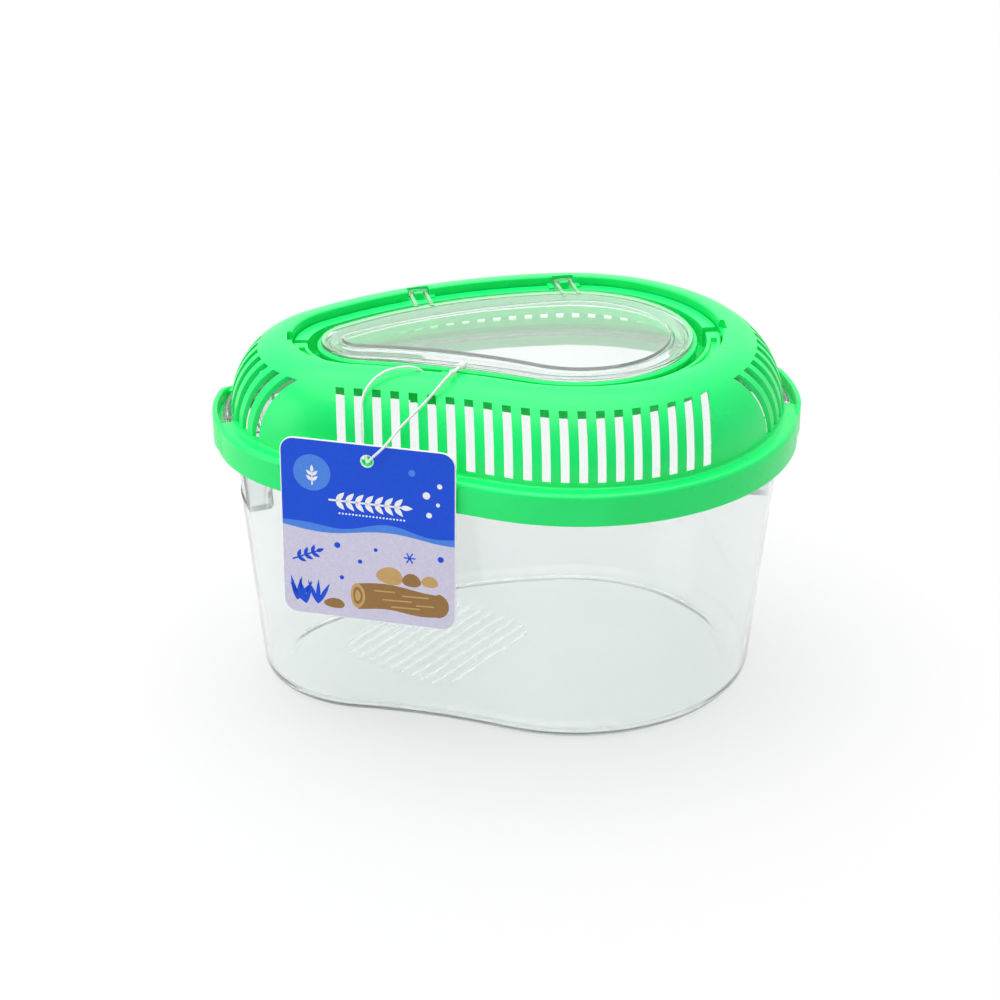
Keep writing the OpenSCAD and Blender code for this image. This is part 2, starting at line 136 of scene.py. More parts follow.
def both_ends(big, small):
    """Rows of lobe centre, lobe radius and what belongs there, for the big and the small end."""
    a, b = lobes()
    return (a, mm("big_r"), big), (b, mm("small_r"), small)


def plan():
    """The outer line of the lid skirt as four arcs."""
    a, b = lobes()
    return four_arcs(a, mm("big_r"), b, mm("small_r"), mm("back_r"), mm("front_r"))


def on_arc(x, y, r, s, a):
    """Stations at the angles a of one arc: centre, radius, sign and outward direction."""
    return np.stack([*(np.full_like(a, k) for k in (x, y, r, s)), np.cos(a), np.sin(a)], 1)


def samples(arcs, counts, closed=True):
    """Stations along arcs, each arc in equal steps of angle."""
    rows = []
    for i, ((x, y, r, s, a0, a1), n) in enumerate(zip(arcs, counts)):
        last = not closed and i == len(arcs) - 1
        t = np.linspace(0, 1, n + 1)[:None if last else -1]
        rows.append(on_arc(x, y, r, s, a0 + (a1 - a0) * t))
    return np.concatenate(rows)


def offset_line(st, d):
    """Points of the stations moved out by d: centre + (radius + sign * d) * direction."""
    return st[:, :2] + (st[:, 2] + st[:, 3] * d)[:, None] * st[:, 4:6]


def level(st, d, z):
    """A loop of points at offset d and height z."""
    return np.c_[offset_line(st, d), np.full(len(st), z)]


def rounded(corners, seg=4):
    """A closed section whose corners (offset, height, radius) are turned into arcs of seg steps.
    An arc's points are (sin((1-t) w) u + sin(t w) v) / sin(w) from its centre, with u and v the
    radii to its two ends and w the angle between them. It takes at most half of each side."""
    p = np.array([c[:2] for c in corners], float)
    out = []
    for i, (*_, r) in enumerate(corners):
        if r <= 0:
            out.append(p[i][None])
            continue
        a, b = p[i - 1] - p[i], p[(i + 1) % len(p)] - p[i]
        la, lb = np.linalg.norm(a), np.linalg.norm(b)
        a, b = a / la, b / lb
        half = math.acos(float(np.clip(a @ b, -1, 1))) / 2
        k = min(r / math.tan(half), 0.49 * la, 0.49 * lb)
        rr = k * math.tan(half)
        m = (a + b) / np.linalg.norm(a + b)
        c = p[i] + m * rr / math.sin(half)
        u, v = p[i] + a * k - c, p[i] + b * k - c
        full = math.pi - 2 * half
        t = np.linspace(0, 1, seg + 1)[:, None]
        out.append(c + (np.sin((1 - t) * full) * u + np.sin(t * full) * v) / math.sin(full))
    return np.concatenate(out)


# Meshes

def grid_faces(rows, cols, close_rows, close_cols):
    """Quads of a rows x cols grid of points, joined round where asked."""
    i = np.arange(rows if close_rows else rows - 1)[:, None]
    j = np.arange(cols if close_cols else cols - 1)[None]
    k, m = (i + 1) % rows, (j + 1) % cols
    return np.stack([i * cols + j, k * cols + j, k * cols + m, i * cols + m], -1).reshape(-1, 4)


def run_faces(m, n):
    """Faces of an m-point section carried over n stations, shut by a flat face at each end."""
    ends = [[j * n for j in range(m)], [j * n + n - 1 for j in range(m - 1, -1, -1)]]
    return grid_faces(m, n, True, False).tolist() + ends


def make(name, verts, faces):
    """A mesh object from points in millimetres and lists of corners; its faces point outward."""
    me = bpy.data.meshes.new(name)
    points = (np.asarray(verts, float) / 1000).tolist()
    me.from_pydata(points, [], [list(map(int, f)) for f in faces])
    me.validate()
    ob = bpy.data.objects.new(name, me)
    bpy.context.scene.collection.objects.link(ob)
    bm = bmesh.new()
    bm.from_mesh(me)
    bmesh.ops.recalc_face_normals(bm, faces=bm.faces)
    bm.to_mesh(me)
    bm.free()
    return ob


def ring(name, st, section):
    """A closed section carried right round: point (j, i) is station i moved out by d_j at z_j."""
    v = np.concatenate([level(st, d, z) for d, z in section])
    return make(name, v, grid_faces(len(section), len(st), True, True))


def bowl(name, loops):
    """A closed skin through a list of closed loops, the first and last shut with a flat cap."""
    n = len(loops[0])
    v = np.concatenate(loops)
    faces = grid_faces(len(loops), n, False, True).tolist()
    faces += [list(range(n)), list(range(len(v) - 1, len(v) - n - 1, -1))]
    return make(name, v, faces)


def strip(name, st, section):
    """A closed section carried along an open run of stations, with flat ends."""
    v = np.concatenate([level(st, d, z) for d, z in section])
    return make(name, v, run_faces(len(section), len(st)))


def sector(name, c, r, a0, a1, section, steps):
    """A closed section turned about a lobe centre from angle a0 to a1, in degrees."""
    t = np.radians(np.linspace(a0, a1, steps + 1))
    return strip(name, on_arc(*c, r, 1, t), np.asarray(section, float))


def boxes(name, items):
    """Many boxes in one mesh; each item is (lowest corner, highest corner, 4x4 place or None)."""
    unit = np.array([(x, y, z) for x in (0, 1) for y in (0, 1) for z in (0, 1)], float)
    quads = np.array([(0, 1, 3, 2), (4, 6, 7, 5), (0, 4, 5, 1),
                      (2, 3, 7, 6), (0, 2, 6, 4), (1, 5, 7, 3)])
    v, f = [], []
    for i, (lo, hi, where) in enumerate(items):
        p = np.array(lo) + unit * (np.array(hi) - np.array(lo))
        if where is not None:
            m = np.array(where)
            p = p @ m[:3, :3].T + m[:3, 3]
        v.append(p)
        f.append(quads + 8 * i)
    return make(name, np.concatenate(v), np.concatenate(f))


def circle_about(axis, sides):
    """Unit circle square to a unit axis: cos t u + sin t w, with u and w square to it."""
    u = np.cross(axis, (0, 0, 1) if abs(axis[2]) < 0.9 else (1, 0, 0))
    u /= np.linalg.norm(u)
    w = np.cross(axis, u)
    t = np.linspace(0, 2 * math.pi, sides, endpoint=False)[:, None]
    return np.cos(t) * u + np.sin(t) * w


def rod(name, a, b, r, sides=48, bevel=0.0):
    """A round bar from a to b: circles of radius r square to it, its rims turned over by bevel."""
    a, b = np.array(a, float), np.array(b, float)
    axis = (b - a) / np.linalg.norm(b - a)
    circle = circle_about(axis, sides)
    steps = [(0, r)]
    if bevel > 0:
        steps = [(bevel * (1 - math.cos(k)), r - bevel * (1 - math.sin(k)))
                 for k in np.linspace(0, math.pi / 2, 4)]
    return bowl(name, [a + axis * s + circle * q for s, q in steps]
                + [b - axis * s + circle * q for s, q in reversed(steps)])


def ball(name, mid, axis, r, sides=24, rows=15):
    """A sphere of circles about an axis, at -r cos k along it and of radius r sin k. Its poles
    are shut with a small flat face."""
    circle = circle_about(axis, sides)
    return bowl(name, [mid - axis * r * math.cos(k) + r * math.sin(k) * circle
                       for k in np.linspace(0, math.pi, rows)[1:-1]])


def tube(name, line, r, sides=14):
    """A round tube along a line: at each point a circle square to the line, its first radius
    square to the line and to the way from the line's middle, so it doesn't twist."""
    t = np.gradient(line, axis=0)
    t /= np.linalg.norm(t, axis=1)[:, None]
    u = np.cross(t, line - line.mean(0))
    u /= np.linalg.norm(u, axis=1)[:, None]
    v = np.cross(t, u)
    a = np.linspace(0, 2 * math.pi, sides, endpoint=False)
    c, s = np.cos(a)[None, :, None], np.sin(a)[None, :, None]
    return bowl(name, list(line[:, None] + r * (c * u[:, None] + s * v[:, None])))


def place(x, y, z, turn):
    """A place moved to a point in millimetres and turned about Z by degrees."""
    return Matrix.Translation((x, y, z)) @ Matrix.Rotation(math.radians(turn), 4, "Z")


def drop(ob):
    """Removes a helper object and its mesh."""
    me = ob.data
    bpy.data.objects.remove(ob)
    bpy.data.meshes.remove(me)


def bake(ob):
    """Works the modifiers of a solid into its mesh."""
    bpy.context.view_layer.update()
    graph = bpy.context.evaluated_depsgraph_get()
    me = bpy.data.meshes.new_from_object(ob.evaluated_get(graph))
    ob.modifiers.clear()
    old, ob.data = ob.data, me
    bpy.data.meshes.remove(old)
    return ob


def boolean(ob, tools, how):
    """Cuts helper solids from a piece or joins them to it, one after the other. Blender's exact
    solver left a few of the lid's slots uncut, so this is its manifold one."""
    for tool in tools:
        m = ob.modifiers.new("tool", "BOOLEAN")
        m.operation, m.object, m.solver = how, tool, "MANIFOLD"
        bake(ob)
        drop(tool)
    if not len(ob.data.polygons):
        raise RuntimeError(f"{ob.name} came out empty")
    return ob


def soften(ob, width, segments=3, angle=40):
    """Rounds the edges of a helper solid that are sharper than an angle in degrees."""
    m = ob.modifiers.new("edges", "BEVEL")
    m.width, m.segments = width / 1000, segments
    m.limit_method, m.angle_limit = "ANGLE", math.radians(angle)
    return bake(ob)


def join(name, obs):
    """Several meshes as one object; their faces keep their materials."""
    bm = bmesh.new()
    mats = []
    for o in obs:
        n = len(bm.faces)
        bm.from_mesh(o.data)
        bm.faces.ensure_lookup_table()
        own = [m for m in o.data.materials] or [None]
        for m in own:
            if m not in mats:
                mats.append(m)
        for f in bm.faces[n:]:
            f.material_index = mats.index(own[min(f.material_index, len(own) - 1)])
    me = bpy.data.meshes.new(name)
    bm.to_mesh(me)
    bm.free()
    for m in mats:
        me.materials.append(m)
    for o in obs:
        drop(o)
    ob = bpy.data.objects.new(name, me)
    bpy.context.scene.collection.objects.link(ob)
    return ob


def dress(ob, mat, body, nodes, angle=30):
    """Gives a piece its material and shading, its body and the CAD nodes it stands for."""
    if mat is not None:
        ob.data.materials.clear()
        ob.data.materials.append(mat)
    ob.data.polygons.foreach_set("use_smooth", np.ones(len(ob.data.polygons), bool))
    ob.data.set_sharp_from_angle(angle=math.radians(angle))
    w = ob.modifiers.new("flat faces first", "WEIGHTED_NORMAL")
    w.keep_sharp = True
    w.weight = 80
    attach(ob, body)
    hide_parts(*nodes)
    return ob


# Materials

def wire(tree, n, inputs):
    """Sets inputs of a shader node to values, or links them to output sockets."""
    for k, v in inputs.items():
        if isinstance(v, bpy.types.NodeSocket):
            tree.links.new(v, n.inputs[k])
        else:
            n.inputs[k].default_value = v


def node(tree, kind, inputs=None, **settings):
    """Adds a shader node with its settings, values and links."""
    n = tree.nodes.new(kind)
    for k, v in settings.items():
        setattr(n, k, v)
    wire(tree, n, inputs or {})
    return n


def per_metre(size):
    """Scale of a noise on Object coordinates, which are metres, from its grain in millimetres."""
    return 1000 / size


def blank(name):
    """A new node material: itself, its tree, its Principled shader and its Object coordinates."""
    mat = bpy.data.materials.new(name)
    mat.use_nodes = True
    tree = mat.node_tree
    where = node(tree, "ShaderNodeTexCoord").outputs["Object"]
    return mat, tree, tree.nodes["Principled BSDF"], where


def green_plastic():
    """Pigmented polypropylene, injection moulded: a soft-edged gloss over a faint orange-peel
    skin, a little light bleeding through thin ribs, and slightly paler flow bands."""
    mat, t, bsdf, where = blank("green_polypropylene")
    # flow bands about 56 mm apart, sink marks of 8 mm, orange peel of 0.7 mm
    flow = node(t, "ShaderNodeTexNoise", {"Vector": where, "Scale": per_metre(55.6),
                                          "Detail": 2.0, "Distortion": 0.6})
    sink = node(t, "ShaderNodeTexNoise",
                {"Vector": where, "Scale": per_metre(8.33), "Detail": 1.0})
    peel = node(t, "ShaderNodeTexNoise",
                {"Vector": where, "Scale": per_metre(0.714), "Detail": 2.0})
    tone = node(t, "ShaderNodeMapRange",
                {"Value": flow.outputs["Fac"], "From Min": 0.3, "From Max": 0.7,
                 "To Min": 0.95, "To Max": 1.05}).outputs[0]
    grey = node(t, "ShaderNodeCombineColor", {"Red": tone, "Green": tone, "Blue": tone})
    pigment = (*bpy.context.scene.keeper.lid_green, 1)
    base = node(t, "ShaderNodeMix", {0: 1.0, 6: pigment, 7: grey.outputs[0]},
                data_type="RGBA", blend_type="MULTIPLY")
    fine = node(t, "ShaderNodeBump",
                {"Height": peel.outputs["Fac"], "Strength": 0.05, "Distance": 0.00005})
    gloss = node(t, "ShaderNodeMapRange",
                 {"Value": sink.outputs["Fac"], "From Min": 0.3, "From Max": 0.7,
                  "To Min": 0.27, "To Max": 0.35})
    wire(t, bsdf, {"Base Color": base.outputs[2], "Normal": fine.outputs["Normal"],
                   "Roughness": gloss.outputs[0], "IOR": 1.49, "Specular IOR Level": 0.35,
                   "Subsurface Weight": 0.25, "Subsurface Radius": (0.3, 1.0, 0.45),
                   "Subsurface Scale": 0.0025})
    return mat


def clear_plastic(name, rough, wave, clear):
    """Clear polystyrene, injection moulded: bright crisp gloss, the light bent at rims and
    corners, a slow waviness of the skin that wobbles what is seen through it, and a trace of
    milky haze, which is what is left of clear below 1."""
    mat, t, bsdf, where = blank(name)
    # waves of the skin about 36 mm long
    slow = node(t, "ShaderNodeTexNoise",
                {"Vector": where, "Scale": per_metre(35.7), "Detail": 1.0})
    bump = node(t, "ShaderNodeBump",
                {"Height": slow.outputs["Fac"], "Strength": wave, "Distance": 0.0006})
    wire(t, bsdf, {"Normal": bump.outputs["Normal"], "Transmission Weight": clear,
                   "Base Color": (*bpy.context.scene.keeper.clear_tint, 1),
                   "IOR": 1.5, "Roughness": rough})
    # lamps shine through the wall: shadow rays meet a faintly tinted transparent shader
    ray = node(t, "ShaderNodeLightPath").outputs["Is Shadow Ray"]
    through = node(t, "ShaderNodeBsdfTransparent", {"Color": (*srgb("#F4F9F8"), 1)})
    mix = node(t, "ShaderNodeMixShader", {0: ray, 1: bsdf.outputs[0], 2: through.outputs[0]})
    wire(t, t.nodes["Material Output"], {"Surface": mix.outputs[0]})
    return mat


def nylon():
    """Natural nylon monofilament, drawn: milky, a little clear, softly shiny along its length."""
    mat, t, bsdf, where = blank("natural_nylon")
    # clouds of 2 mm in the gloss
    cloud = node(t, "ShaderNodeTexNoise", {"Vector": where, "Scale": per_metre(2)})
    tone = node(t, "ShaderNodeMapRange",
                {"Value": cloud.outputs["Fac"], "To Min": 0.2, "To Max": 0.32})
    wire(t, bsdf, {"Roughness": tone.outputs[0], "Base Color": (*srgb("#F6FAF9"), 1),
                   "Transmission Weight": 0.2, "IOR": 1.53})
    return mat


def printed(name, code):
    """Ink on coated card under a thin varnish: flat colour with faint ink mottle and paper
    tooth. The colour is an sRGB hex code or a linear triple."""
    mat, t, bsdf, where = blank(name)
    # ink mottle and tooth of 1.1 mm, coarser than real ones so that they show
    mottle = node(t, "ShaderNodeTexNoise",
                  {"Vector": where, "Scale": per_metre(1.11), "Detail": 3.0})
    ramp = node(t, "ShaderNodeValToRGB", {"Fac": mottle.outputs["Fac"]})
    c = np.array(srgb(code) if isinstance(code, str) else code)
    for stop, at, share in zip(ramp.color_ramp.elements, (0.3, 0.7), (0.94, 1.05)):
        stop.position = at
        stop.color = (*np.clip(c * share, 0, 1), 1)
    tooth = node(t, "ShaderNodeBump",
                 {"Height": mottle.outputs["Fac"], "Strength": 0.1, "Distance": 0.00003})
    wire(t, bsdf, {"Base Color": ramp.outputs["Color"], "Normal": tooth.outputs["Normal"],
                   "Roughness": 0.32, "IOR": 1.5, "Specular IOR Level": 0.25})
    return mat


def sweep_sheet():
    """Matt paper sweep, glowing a little by itself: an even pale field under a faint shadow."""
    mat, t, bsdf, where = blank("paper_sweep")
    # grain of 25 mm in the gloss
    grain = node(t, "ShaderNodeTexNoise", {"Vector": where, "Scale": per_metre(25)})
    tone = node(t, "ShaderNodeMapRange",
                {"Value": grain.outputs["Fac"], "To Min": 0.75, "To Max": 0.85})
    wire(t, bsdf, {"Roughness": tone.outputs[0], "Base Color": (*srgb("#989898"), 1),
                   "Specular IOR Level": 0.1, "Emission Color": (1, 1, 1, 1),
                   "Emission Strength": 0.53})
    return mat


# Shared places

COUNTS = (96, 28, 64, 20)       # stations on the big lobe, back, small lobe and front
CREST_IN, LEDGE_W = 27.0, 5.5   # crest of the dome and flat ledge, from the outline
WELL_IN, NECK_IN = 28.0, 37.6   # outer and inner wall of the ring gutter
GUTTER_DEPTH, NECK_DROP = 10.3, 3.4     # gutter floor and neck rim below the crest
STRAP_OUT, STRAP_W, STRAP_T = 28.6, 5.0, 4.0    # strap from the outline, its width and thickness
STRAP_DROP = 3.1                # strap top below the crest
PIVOT_D, PIN_GAP = 3.0, 0.06    # strap pins and the gap round them
PIN_IN, PIN_OUT, BORE_OUT = 1.0, 3.2, 3.5       # pin about the strap's face, and its bore's end
HINGE = (-2.75, 47.75, -2.0)    # middle of the hatch hinge line, height below the crest
HINGE_TURN, HINGE_HALF = 7.8, 27.5      # turn of that line and half distance of the hinges
BIG_EAR, SMALL_EAR = (4.0, 15.5, 11.0), (177.0, 21.0, 15.5)     # middle, half width, half slot
BIG_POCKET, SMALL_POCKET = (4.0, 16.5), (176.5, 23.0)           # middle, half width


def stations():
    """Stations right round the plan."""
    return samples(plan(), COUNTS)


def front_run(a, b, small, big):
    """Stations of an open run round the front, from angle a on the small lobe to b on the big
    one, in degrees, with their numbers on the two lobes."""
    arcs = plan()
    return samples([(*arcs[2][:4], math.radians(a), arcs[2][5]), arcs[3],
                    (*arcs[0][:5], math.radians(b))], (small, COUNTS[3], big), closed=False)


def back_run(a, b, big, small):
    """Stations of an open run round the back, from angle a on the big lobe to b on the small."""
    arcs = plan()
    return samples([(*arcs[0][:4], math.radians(a), arcs[0][5]), arcs[1],
                    (*arcs[2][:5], math.radians(b))], (big, COUNTS[1], small), closed=False)


def pivot_x():
    """Half distance between the handle pivots, the outer face of the strap on the X axis."""
    return lobes()[0][0] + mm("big_r") - STRAP_OUT


def hinge_places():
    """Places of the two hatch hinges, their X along the bars."""
    mid = place(HINGE[0], HINGE[1], mm("height") + HINGE[2], HINGE_TURN)
    return [mid @ Matrix.Translation((s * HINGE_HALF, 0, 0)) for s in (-1, 1)]


def edge_at(x, d, side):
    """Y of the offset line at x, side 1 at the back and -1 in front, from a fine polyline."""
    line = offset_line(samples(plan(), (400, 160, 300, 120)), d)
    half = line[line[:, 1] * side > 0]
    half = half[np.argsort(half[:, 0])]
    return float(np.interp(x, half[:, 0], half[:, 1]))


# Lid

LID_EDGE, LEDGE_EDGE = 0.7, 2.0         # roundings of skirt and ledge
SKIN, GUTTER_T, NECK_RIM = 1.2, 1.1, 0.8    # dome and gutter thickness, bead of the neck
SLOTS, SLOT_PITCH, SLOT_MID = 21, 6.1, 1.35     # slots in front and behind, and their middle
BIG_SLOTS, SMALL_SLOTS, END_PITCH = 13, 10, 6.4
SLOT_LOW, SLOT_TOP, VENT_IN = 1.6, 23.5, 24.0   # slot ends above the ledge, reach inward
END_EXTRA, SLOT_GROUPS = 0.3, 3         # half extra width at the ends, cuts they are made in
BLOCK_DROP, SUNK = 2.4, 0.9     # gutter blocks: below the crest, and sunk in the floor
BOSS_FROM, BOSS_TO, BOSS_HALF = 1.2, 5.4, 7     # pivot boss beyond the pivot, half length
PIVOT_NOTCH, PIVOT_NOTCH_DROP = (-0.6, 2.2, 4.2), 2.8       # from, to, half length; drop
# lowest and highest corners of the boxes about the middle of each hinge
HINGE_BLOCK = ((-6, -4, 1.3 - GUTTER_DEPTH), (6, 4.2, 2 - BLOCK_DROP))
HINGE_NOTCH = ((-4.0, -4.6, -2), (4.0, 1.7, 3))
KNUCKLE, BAR_HOLE_R = ((-1.8, -2.5, -3), (1.8, 3.4, 0.9)), 1.28
# block and notch for the finger, and the rests under the strap
FINGER_BLOCK, FINGER_NOTCH = (6, -3.6, 0.4), (4.3, -1.6, 1.8)       # half width, from, to
FINGER_TURN, FINGER_FLOOR = 71.1, 3.4   # turn about the front arc, notch floor above gutter's
REST_GAP, REST_HALF = 0.2, 2.5          # strap rests: gap under the strap, half width
REST_AT = (-2.4, 1.6)           # strap rest about the strap's outer face
BIG_RESTS, SMALL_RESTS = (-40, -80), (225,)     # turns of the rests about the lobes


def lid_section():
    """Lid section: skirt, ledge, dome, crest, gutter and neck, then back along the inside. The
    dome is a quarter ellipse, offset -crest + a cos t and height ledge + b sin t."""
    z0, z1, w, top = mm("skirt_z"), mm("ledge_z"), mm("lid_wall"), mm("height")
    floor, neck = top - GUTTER_DEPTH, top - NECK_DROP
    a, b = CREST_IN - LEDGE_W, top - z1
    t = np.radians(np.linspace(12, 88, 20))
    dome = [(x, z, 0) for x, z in zip(-CREST_IN + a * np.cos(t), z1 + b * np.sin(t))]
    t = np.radians(np.linspace(78, 6, 12))
    inner = [(x, z, 0) for x, z in zip(-CREST_IN + (a - SKIN) * np.cos(t),
                                       z1 - SKIN + (b - 0.4) * np.sin(t))]
    return rounded(
        [(0, z0, LID_EDGE), (0, z1, LEDGE_EDGE), (-LEDGE_W, z1, 1.2)] + dome
        + [(-WELL_IN + 0.05, top, 0.8), (-WELL_IN, floor, 0.8), (-NECK_IN, floor, 0.8),
           (-NECK_IN, neck - 2.4, 0.6), (-NECK_IN + NECK_RIM, neck - 1.5, 0.6),
           (-NECK_IN + NECK_RIM, neck, 0.6), (-NECK_IN - w, neck, 0.5),
           (-NECK_IN - w, floor - GUTTER_T, 0.5), (-WELL_IN + w, floor - GUTTER_T, 0.5)]
        + inner + [(-LEDGE_W - SKIN, z1 - SKIN, 0.5), (-w, z1 - SKIN, 1.2), (-w, z0, 0.5)])


def slot_boxes():
    """Boxes that cut the air slots, along Y in front and behind and along X at the two ends. They
    all end on the line VENT_IN inside the outline."""
    z0, z1 = mm("ledge_z") + SLOT_LOW, mm("ledge_z") + SLOT_TOP
    h, far = mm("slot_w") / 2, mm("big_r") + 12
    (bx, _), (sx, _) = lobes()
    items = []
    for i in range(SLOTS):
        x = SLOT_MID + (i - (SLOTS - 1) / 2) * SLOT_PITCH
        items.append(((x - h, -far, z0), (x + h, edge_at(x, -VENT_IN, -1), z1), None))
        items.append(((x - h, edge_at(x, -VENT_IN, 1), z0), (x + h, far, z1), None))
    h += END_EXTRA
    for i in range(BIG_SLOTS):
        y = (i - (BIG_SLOTS - 1) / 2) * END_PITCH
        x = bx + math.sqrt((mm("big_r") - VENT_IN) ** 2 - y * y)
        items.append(((x, y - h, z0), (bx + far, y + h, z1), None))
    for i in range(SMALL_SLOTS):
        y = (i - (SMALL_SLOTS - 1) / 2) * END_PITCH
        x = sx - math.sqrt((mm("small_r") - VENT_IN) ** 2 - y * y)
        items.append(((sx - far, y - h, z0), (x, y + h, z1), None))
    return items


def finger_place():
    """Place on the front crest where the finger notch is cut, Y inwards."""
    cx, cy, r = plan()[3][:3]
    return place(cx, cy, 0, FINGER_TURN - 90) @ Matrix.Translation((0, r + CREST_IN + 0.2, 0))


def ledge_section():
    """Section of the fixed back ledge, its top level with the folded strap."""
    low, top = mm("height") - GUTTER_DEPTH - 0.7, mm("height") - STRAP_DROP
    a, b = -STRAP_OUT, -STRAP_OUT - STRAP_W
    return rounded([(-WELL_IN + 0.7, low, 0), (-WELL_IN + 0.7, top - 1.6, 0),
                    (a + 0.02, top - 1.6, 0.2), (a, top, 0.4), (b, top, 0.4), (b, low, 0)])


def ear_bands():
    """Helper solids of the ears on the ledge. Along each band the section goes from one sunk in
    the skirt to a raised one and back, by the share k = 1 - (3q^2 - 2q^3) of the raised one,
    q = (|t| - 0.5) / 0.5 and not below 0, with t from -1 to 1."""
    z0, z1, out = mm("skirt_z") + 1.2, mm("ledge_z"), []
    full = rounded([(-1.0, z0, 0), (1.0, z0 + 0.8, 0.6), (1.0, z1 + 1.5, 0.6),
                    (-0.9, z1 + 1.5, 0.6), (-0.9, z1 - 1.2, 0), (-1.6, z1 - 2.0, 0)])
    sunk = rounded([(-1.0, z0, 0), (-0.3, z0 + 0.8, 0.1), (-0.3, z1 - 1.2, 0.1),
                    (-0.95, z1 - 0.7, 0.1), (-0.97, z1 - 1.3, 0), (-1.6, z1 - 2.0, 0)])
    t = np.linspace(-1, 1, 49)
    q = np.clip((np.abs(t) - 0.5) / 0.5, 0, 1)
    k = (1 - q * q * (3 - 2 * q))[None]
    for c, r, (mid, half, _) in both_ends(BIG_EAR, SMALL_EAR):
        ang = np.radians(mid + (half + 4) * t)[None]
        d = r + full[:, :1] * k + sunk[:, :1] * (1 - k)
        z = full[:, 1:] * k + sunk[:, 1:] * (1 - k)
        v = np.stack([c[0] + d * np.cos(ang), c[1] + d * np.sin(ang), z], -1).reshape(-1, 3)
        out.append(make("ear", v, run_faces(len(full), len(t))))
    return out


def ear_cuts():
    """Helper solids that cut the slots between ears and dome."""
    z1, inner, outer = mm("ledge_z"), -LEDGE_W - 0.4, -0.92
    section = [(inner, z1 - 3), (outer, z1 - 3), (outer, z1 + 4), (inner, z1 + 4)]
    return [sector("slot", c, r, mid - slot, mid + slot, section, 20)
            for c, r, (mid, _, slot) in both_ends(BIG_EAR, SMALL_EAR)]


def gutter_blocks():
    """Boxes inside the gutter: pivot bosses, hinge blocks, strap rests and the finger block."""
    crest, px = mm("height"), pivot_x()
    low, top = crest - GUTTER_DEPTH - SUNK, crest - BLOCK_DROP
    items = [((px + BOSS_FROM, -BOSS_HALF, low), (px + BOSS_TO, BOSS_HALF, top), None),
             ((-px - BOSS_TO, -BOSS_HALF, low), (-px - BOSS_FROM, BOSS_HALF, top), None)]
    items += [(*HINGE_BLOCK, m) for m in hinge_places()]
    rest = crest - STRAP_DROP - STRAP_T - REST_GAP
    for (x, _), r, turns in both_ends(BIG_RESTS, SMALL_RESTS):
        a, b = (r - STRAP_OUT + k for k in REST_AT)
        items += [((a, -REST_HALF, low), (b, REST_HALF, rest), place(x, 0, 0, turn))
                  for turn in turns]
    half, a, b = FINGER_BLOCK
    items.append(((-half, a, low), (half, b, top), finger_place()))
    return items


def lid_notches():
    """Boxes that are cut away for the hinges, the finger and the strap's ends."""
    top, px = mm("height"), pivot_x()
    half, a, b = FINGER_NOTCH
    items = [(*HINGE_NOTCH, m) for m in hinge_places()]
    items.append(((-half, a, top - GUTTER_DEPTH + FINGER_FLOOR), (half, b, top + 4),
                  finger_place()))
    a, b, half = PIVOT_NOTCH
    low = top - PIVOT_NOTCH_DROP
    return items + [((px + a, -half, low), (px + b, half, top + 3), None),
                    ((-px - b, -half, low), (-px - a, half, top + 3), None)]


def build_lid():
    """Lid: the ringed section, joined with its blocks, ears and ledge, then slotted, notched and
    bored. The hinge knuckles are set in last."""
    z, px = mm("height") - STRAP_DROP - STRAP_T / 2, pivot_x()
    lid = ring("lid_moulding", stations(), lid_section())
    seat = strip("ledge", back_run(6, 172, 64, 26), ledge_section())
    blocks = join("blocks", [boxes("blocks", gutter_blocks()), *ear_bands()])
    boolean(lid, [blocks, seat], "UNION")
    slots = slot_boxes()
    cuts = [boxes("slots", slots[i::SLOT_GROUPS]) for i in range(SLOT_GROUPS)]
    bores = [rod("bore", (s * (px - 2), 0, z), (s * (px + BORE_OUT), 0, z),
                 PIVOT_D / 2 + PIN_GAP) for s in (-1, 1)]
    boolean(lid, [*cuts, join("cuts", ear_cuts()), boxes("notches", lid_notches()),
                  join("bores", bores)], "DIFFERENCE")
    knuckles = []
    for m in hinge_places():
        block = soften(boxes("knuckle", [(*KNUCKLE, m)]), 0.5)
        bore = rod("bore", m @ Vector((-5, 0, 0)), m @ Vector((5, 0, 0)), BAR_HOLE_R)
        knuckles.append(boolean(block, [bore], "DIFFERENCE"))
    lid = join("lid_moulding", [lid, *knuckles])
    return dress(lid, green_plastic(), "lid", ("lid",), 35)


# Handle

CHANNEL_IN = 1.4        # edges and floor of the strap's channel, from its sides and top


def build_handle():
    """Handle strap: a rounded bar with a channel on top, carried from pivot to pivot round the
    front, with round ends and pins on the pivot axis."""
    top, px = mm("height") - STRAP_DROP, pivot_x()
    low, a, b = top - STRAP_T, -STRAP_OUT, -STRAP_OUT - STRAP_W
    z, k = top - STRAP_T / 2, CHANNEL_IN
    bar = rounded([(a, low, 0.4), (a, top, 0.5), (b, top, 0.5), (b, low, 0.4)])
    strap = strip("handle_strap", front_run(180, 0, 44, 72), bar)
    hollow = rounded([(a - k, top - k, 0.3), (a - k, top + 2, 0),
                      (b + k, top + 2, 0), (b + k, top - k, 0.3)])
    channel = strip("channel", front_run(188, -6, 40, 68), hollow)
    ends = [rod("end", (s * (px - 0.15), 0, z), (s * (px - STRAP_W + 0.3), 0, z),
                STRAP_T / 2 + 0.1, bevel=0.4) for s in (-1, 1)]
    pins = [rod("pin", (s * (px - PIN_IN), 0, z), (s * (px + PIN_OUT), 0, z), PIVOT_D / 2,
                bevel=0.3) for s in (-1, 1)]
    boolean(strap, [channel], "DIFFERENCE")
    boolean(strap, [join("ends", ends), join("pins", pins)], "UNION")
    return dress(strap, green_plastic(), "handle", ("handle",), 35)


# Hatch

